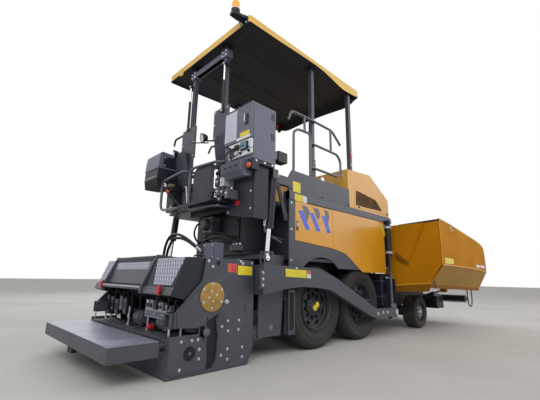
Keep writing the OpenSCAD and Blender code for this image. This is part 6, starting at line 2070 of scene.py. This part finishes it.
class PAVER_OT_front_gear(bpy.types.Operator):
    """Louvres, lamps and latch of the hood's nose, hopper apron, conveyor chains and tow hooks"""

    bl_idname = "paver.front_gear"
    bl_label = "Front gear"

    def execute(self, context):
        nose = Piece("hood_front", "tractor", 0.002)
        for x in np.linspace(1.46, 1.84, 7):
            rise = (hood_top(x + 0.01) - hood_top(x - 0.01)) / 0.02
            low, high = hood_top(x) - 0.004, hood_top(x) + 0.012
            slat = [(x - 0.017, low - 0.017 * rise), (x + 0.017, low + 0.017 * rise),
                (x + 0.01, high + 0.01 * rise), (x - 0.017, high - 0.017 * rise)]
            nose.add(prism(slat, -0.52, 0.52), "hood_yellow")
        for s in (-1, 1):
            nose.add(work_lamp((1.968, s * 0.62, 1.875), AHEAD, 0.06), "black_plastic")
            nose.add(work_lamp_glass((1.968, s * 0.62, 1.875), AHEAD, 0.06), "glass")
        nose.boxes("grille", 1958, -360, 1822, 1966, 360, 1930)
        nose.add(frame_strip(mm(-360, 1822, 360, 1822, 360, 1930, -360, 1930), 0.016, 1.958, 1.97, "x"),
            "dark")
        nose.add(handle((1.96, -0.075, 1.81), (1.96, 0.075, 1.81), (0.02, 0, 0), 0.006), "black_plastic")
        nose.build()

        floor = Piece("hopper_floor", "tractor", 0.002)
        floor.boxes("tyre", 3951, -585, 610, 3961, 585, 700)
        floor.bolts([(3.961, y, 0.675) for y in np.linspace(-0.54, 0.54, 9)], AHEAD, 0.024, 0.014)
        link = merged(box((-0.034, -0.016, -0.01), (0.034, -0.006, 0.01)),
            box((-0.034, 0.006, -0.01), (0.034, 0.016, 0.01)),
            bar((-0.026, -0.018, 0), (-0.026, 0.018, 0), 0.009, 10))
        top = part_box("conveyor")[1].z + 0.004
        for y in (-0.25, 0.25):
            floor.add(copies(link, [(x, y, top) for x in np.arange(-0.48, 3.9, 0.07)]), "worn_steel")
        for s in (-1, 1):
            floor.add(tube(round_bends([(3.95, s * 0.45, 0.4), (4.02, s * 0.45, 0.4),
                (4.02, s * 0.45, 0.34), (3.95, s * 0.45, 0.34)], 0.03), 0.014, 14), "chassis")
        floor.boxes("worn_steel", 2000, -60, 700, 3900, 60, 716)
        floor.build()
        return {"FINISHED"}


class PAVER_OT_floor_and_underside(bpy.types.Operator):
    """Tread plate of the platform, pipes, drive motors, axle brackets and belly plates"""

    bl_idname = "paver.floor_and_underside"
    bl_label = "Floor and underside"

    def execute(self, context):
        plate = Piece("platform_tread", "tractor")
        sheet = mm(-1165, -850, 715, -850, 715, 850, -985, 850, -1165, 520)
        plate.add(prism(sheet, 1.649, 1.653, "z"), "tread_dark")
        plate.bolts([(x, y, 1.653) for x in (-0.9, -0.3, 0.3, 0.68) for y in (-0.82, 0, 0.82)], UP, 0.022)
        plate.build()

        belly = Piece("belly", "tractor", 0.002)
        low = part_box("chassis")[0].z
        for x in (0.0, 0.985):
            for s in (-1, 1):
                belly.turned("cast", (x, s * 0.33, 0.48), (0, s, 0), 32, 0, 0, 85, 0, 95, 15, 95, 60,
                    120, 65, 120, 85, 80, 90, 70, 230, 45, 240, 0, 240)
                belly.add(box((x - 0.03, s * 0.4 - 0.035, 0.38), (x + 0.03, s * 0.4 + 0.035, 0.41)),
                    "cast")
        for s in (-1, 1):
            for k, z in enumerate((0.0, 0.036, 0.072)):
                line = [(-0.35, s * 0.52, 0.56 + z), (0.3, s * 0.52, 0.585 + z),
                    (1.4, s * 0.52, 0.585 + z), (2.1, s * (0.48 - 0.02 * k), 0.56 + z),
                    (2.8, s * 0.48, 0.56 + z)]
                belly.add(tube(round_bends(line, 0.1), 0.011, 12), "hose" if k else "dull_silver")
            for x in (0.3, 1.4, 2.45):
                belly.add(box((x - 0.02, s * 0.5 - 0.01, 0.54), (x + 0.02, s * 0.575, 0.68)), "dark")
        for x in (-0.3, 0.5, 1.5, 2.1):
            belly.add(box((x - 0.04, -0.575, low + 0.01), (x + 0.04, 0.575, low + 0.05)), "chassis")
            belly.add(bolts([(x, y, low + 0.01) for y in (-0.5, -0.25, 0.25, 0.5)], DOWN, 0.026),
                "black_bolt")
        belly.build()

        for letter, s in SIDES:
            line = [(x, s * 1.478, z) for x, z in mm(3955, 730, 3968, 600, 3960, 470, 3915, 380,
                3840, 352, 3765, 380, 3720, 470, 3712, 600, 3725, 730)]
            path = smooth_line(line, 5)
            chain = Piece(f"wing_chain_{letter}", f"wing_{letter}")
            chain.add(tube(path, 0.01 * (1 + 0.12 * np.cos(np.arange(len(path)) * np.pi)), 10), "rusty")
            declare_cord(chain)
        return {"FINISHED"}


# Stage

LAMPS = (
    ("key", (-9.0, -8.0, 9.0), (0.0, 0.0, 1.2), 7.0, 560.0),
    ("fill", (9.0, -9.0, 7.0), (1.0, 0.0, 1.2), 8.0, 280.0),
    ("back", (2.0, 10.0, 8.0), (0.0, 0.0, 1.5), 7.0, 280.0),
)


def camera_matrix(place, yaw, pitch, roll):
    """World matrix of a camera that looks along yaw and pitch, rolled about its view."""
    ahead = np.array([math.cos(yaw) * math.cos(pitch), math.sin(yaw) * math.cos(pitch), math.sin(pitch)])
    right = np.array([math.sin(yaw), -math.cos(yaw), 0.0])
    down = np.cross(ahead, right)
    c, s = math.cos(roll), math.sin(roll)
    right, down = c * right + s * down, c * down - s * right
    turn = np.eye(4)
    turn[:3, 0], turn[:3, 1], turn[:3, 2], turn[:3, 3] = right, -down, -ahead, place
    return Matrix(turn.tolist())


class PAVER_OT_stage(bpy.types.Operator):
    """Floor, background, lamps and camera"""

    bl_idname = "paver.stage"
    bl_label = "Stage"

    def execute(self, context):
        scene, view = context.scene, context.scene.paver_view
        reach = 60.0
        corners = [(-reach, -reach, 0), (reach, -reach, 0), (reach, reach, 0), (-reach, reach, 0)]
        mesh = bpy.data.meshes.new("floor")
        mesh.from_pydata(corners, [], [(0, 1, 2, 3)])
        floor = bpy.data.objects.new("floor", mesh)
        scene.collection.objects.link(floor)
        f = Finish("floor")
        base = f.mix(f.noise(0.6, 3.0).step(0.35, 0.65), linear("CFCCC6"), linear("D8D5CF"))
        f.surface(base, 0.85, specular=0.2)
        mesh.materials.append(f.material)

        scene.world = bpy.data.worlds.new("sky")
        scene.world.use_nodes = True
        tree = scene.world.node_tree
        tree.nodes.clear()
        rays, most, all_most, light, white, both, end = (tree.nodes.new(kind)
            for kind in ("ShaderNodeLightPath", "ShaderNodeMath", "ShaderNodeMath",
            "ShaderNodeBackground", "ShaderNodeBackground", "ShaderNodeMixShader",
            "ShaderNodeOutputWorld"))
        most.operation = all_most.operation = "MAXIMUM"
        light.inputs[0].default_value = *view.sky_colour, 1
        light.inputs[1].default_value = view.sky_strength
        white.inputs[0].default_value = 1, 1, 1, 1
        for a, b in ((rays.outputs["Is Camera Ray"], most.inputs[0]),
                (rays.outputs["Is Transmission Ray"], most.inputs[1]),
                (most.outputs[0], all_most.inputs[0]),
                (rays.outputs["Is Glossy Ray"], all_most.inputs[1]),
                (all_most.outputs[0], both.inputs[0]), (light.outputs[0], both.inputs[1]),
                (white.outputs[0], both.inputs[2]), (both.outputs[0], end.inputs[0])):
            tree.links.new(a, b)

        for name, place, aim, size, power in LAMPS:
            lamp = bpy.data.lights.new(name, "AREA")
            lamp.size = size
            lamp.energy = power
            thing = bpy.data.objects.new(name, lamp)
            scene.collection.objects.link(thing)
            pose = np.eye(4)
            pose[:3, :3] = turn_to(np.subtract(place, aim))
            pose[:3, 3] = place
            thing.matrix_world = Matrix(pose.tolist())

        lens = bpy.data.cameras.new("camera")
        lens.lens = view.lens
        lens.sensor_width = 36.0
        lens.clip_end = 200.0
        camera = bpy.data.objects.new("camera", lens)
        scene.collection.objects.link(camera)
        camera.matrix_world = camera_matrix(view.camera, *(math.radians(a) for a in view.aim))
        scene.camera = camera
        scene.view_settings.view_transform = "Standard"
        return {"FINISHED"}


# Panel and run

OPERATORS = (
    PAVER_OT_frame_finishes,
    PAVER_OT_softened,
    PAVER_OT_drive_wheels,
    PAVER_OT_front_wheels,
    PAVER_OT_canopy,
    PAVER_OT_lamps,
    PAVER_OT_door_stripes,
    PAVER_OT_side_trim,
    PAVER_OT_handrails,
    PAVER_OT_tow_gear,
    PAVER_OT_exhaust,
    PAVER_OT_side_panels,
    PAVER_OT_tank,
    PAVER_OT_screed_covers,
    PAVER_OT_screed_ends,
    PAVER_OT_walkway,
    PAVER_OT_screed_gear,
    PAVER_OT_right_console,
    PAVER_OT_left_console,
    PAVER_OT_platform_gear,
    PAVER_OT_seats,
    PAVER_OT_rear_gear,
    PAVER_OT_hoses,
    PAVER_OT_wings,
    PAVER_OT_hopper_details,
    PAVER_OT_front_gear,
    PAVER_OT_floor_and_underside,
    PAVER_OT_stage,
)


class PAVER_PT_panel(bpy.types.Panel):
    """Lists the operators that make the pieces"""

    bl_idname = "PAVER_PT_panel"
    bl_label = "Asphalt paver"
    bl_space_type = "VIEW_3D"
    bl_region_type = "UI"
    bl_category = "Paver"

    def draw(self, context):
        for operator in OPERATORS:
            self.layout.operator(operator.bl_idname)
        for group in (context.scene.paver_colours, context.scene.paver_sizes, context.scene.paver_view):
            for name in group.bl_rna.properties.keys()[1:]:
                self.layout.prop(group, name)


GROUPS = (("paver_colours", PaverColours), ("paver_sizes", PaverSizes), ("paver_view", PaverView))
CLASSES = tuple(group for _, group in GROUPS) + OPERATORS + (PAVER_PT_panel,)


def register():
    for item in CLASSES:
        bpy.utils.register_class(item)
    for name, group in GROUPS:
        setattr(bpy.types.Scene, name, bpy.props.PointerProperty(type=group))


def unregister():
    for name, _ in GROUPS:
        delattr(bpy.types.Scene, name)
    for item in reversed(CLASSES):
        bpy.utils.unregister_class(item)


def main():
    register()
    for operator in OPERATORS:
        group, name = operator.bl_idname.split(".")
        getattr(getattr(bpy.ops, group), name)()


if __name__ == "__main__":
    main()
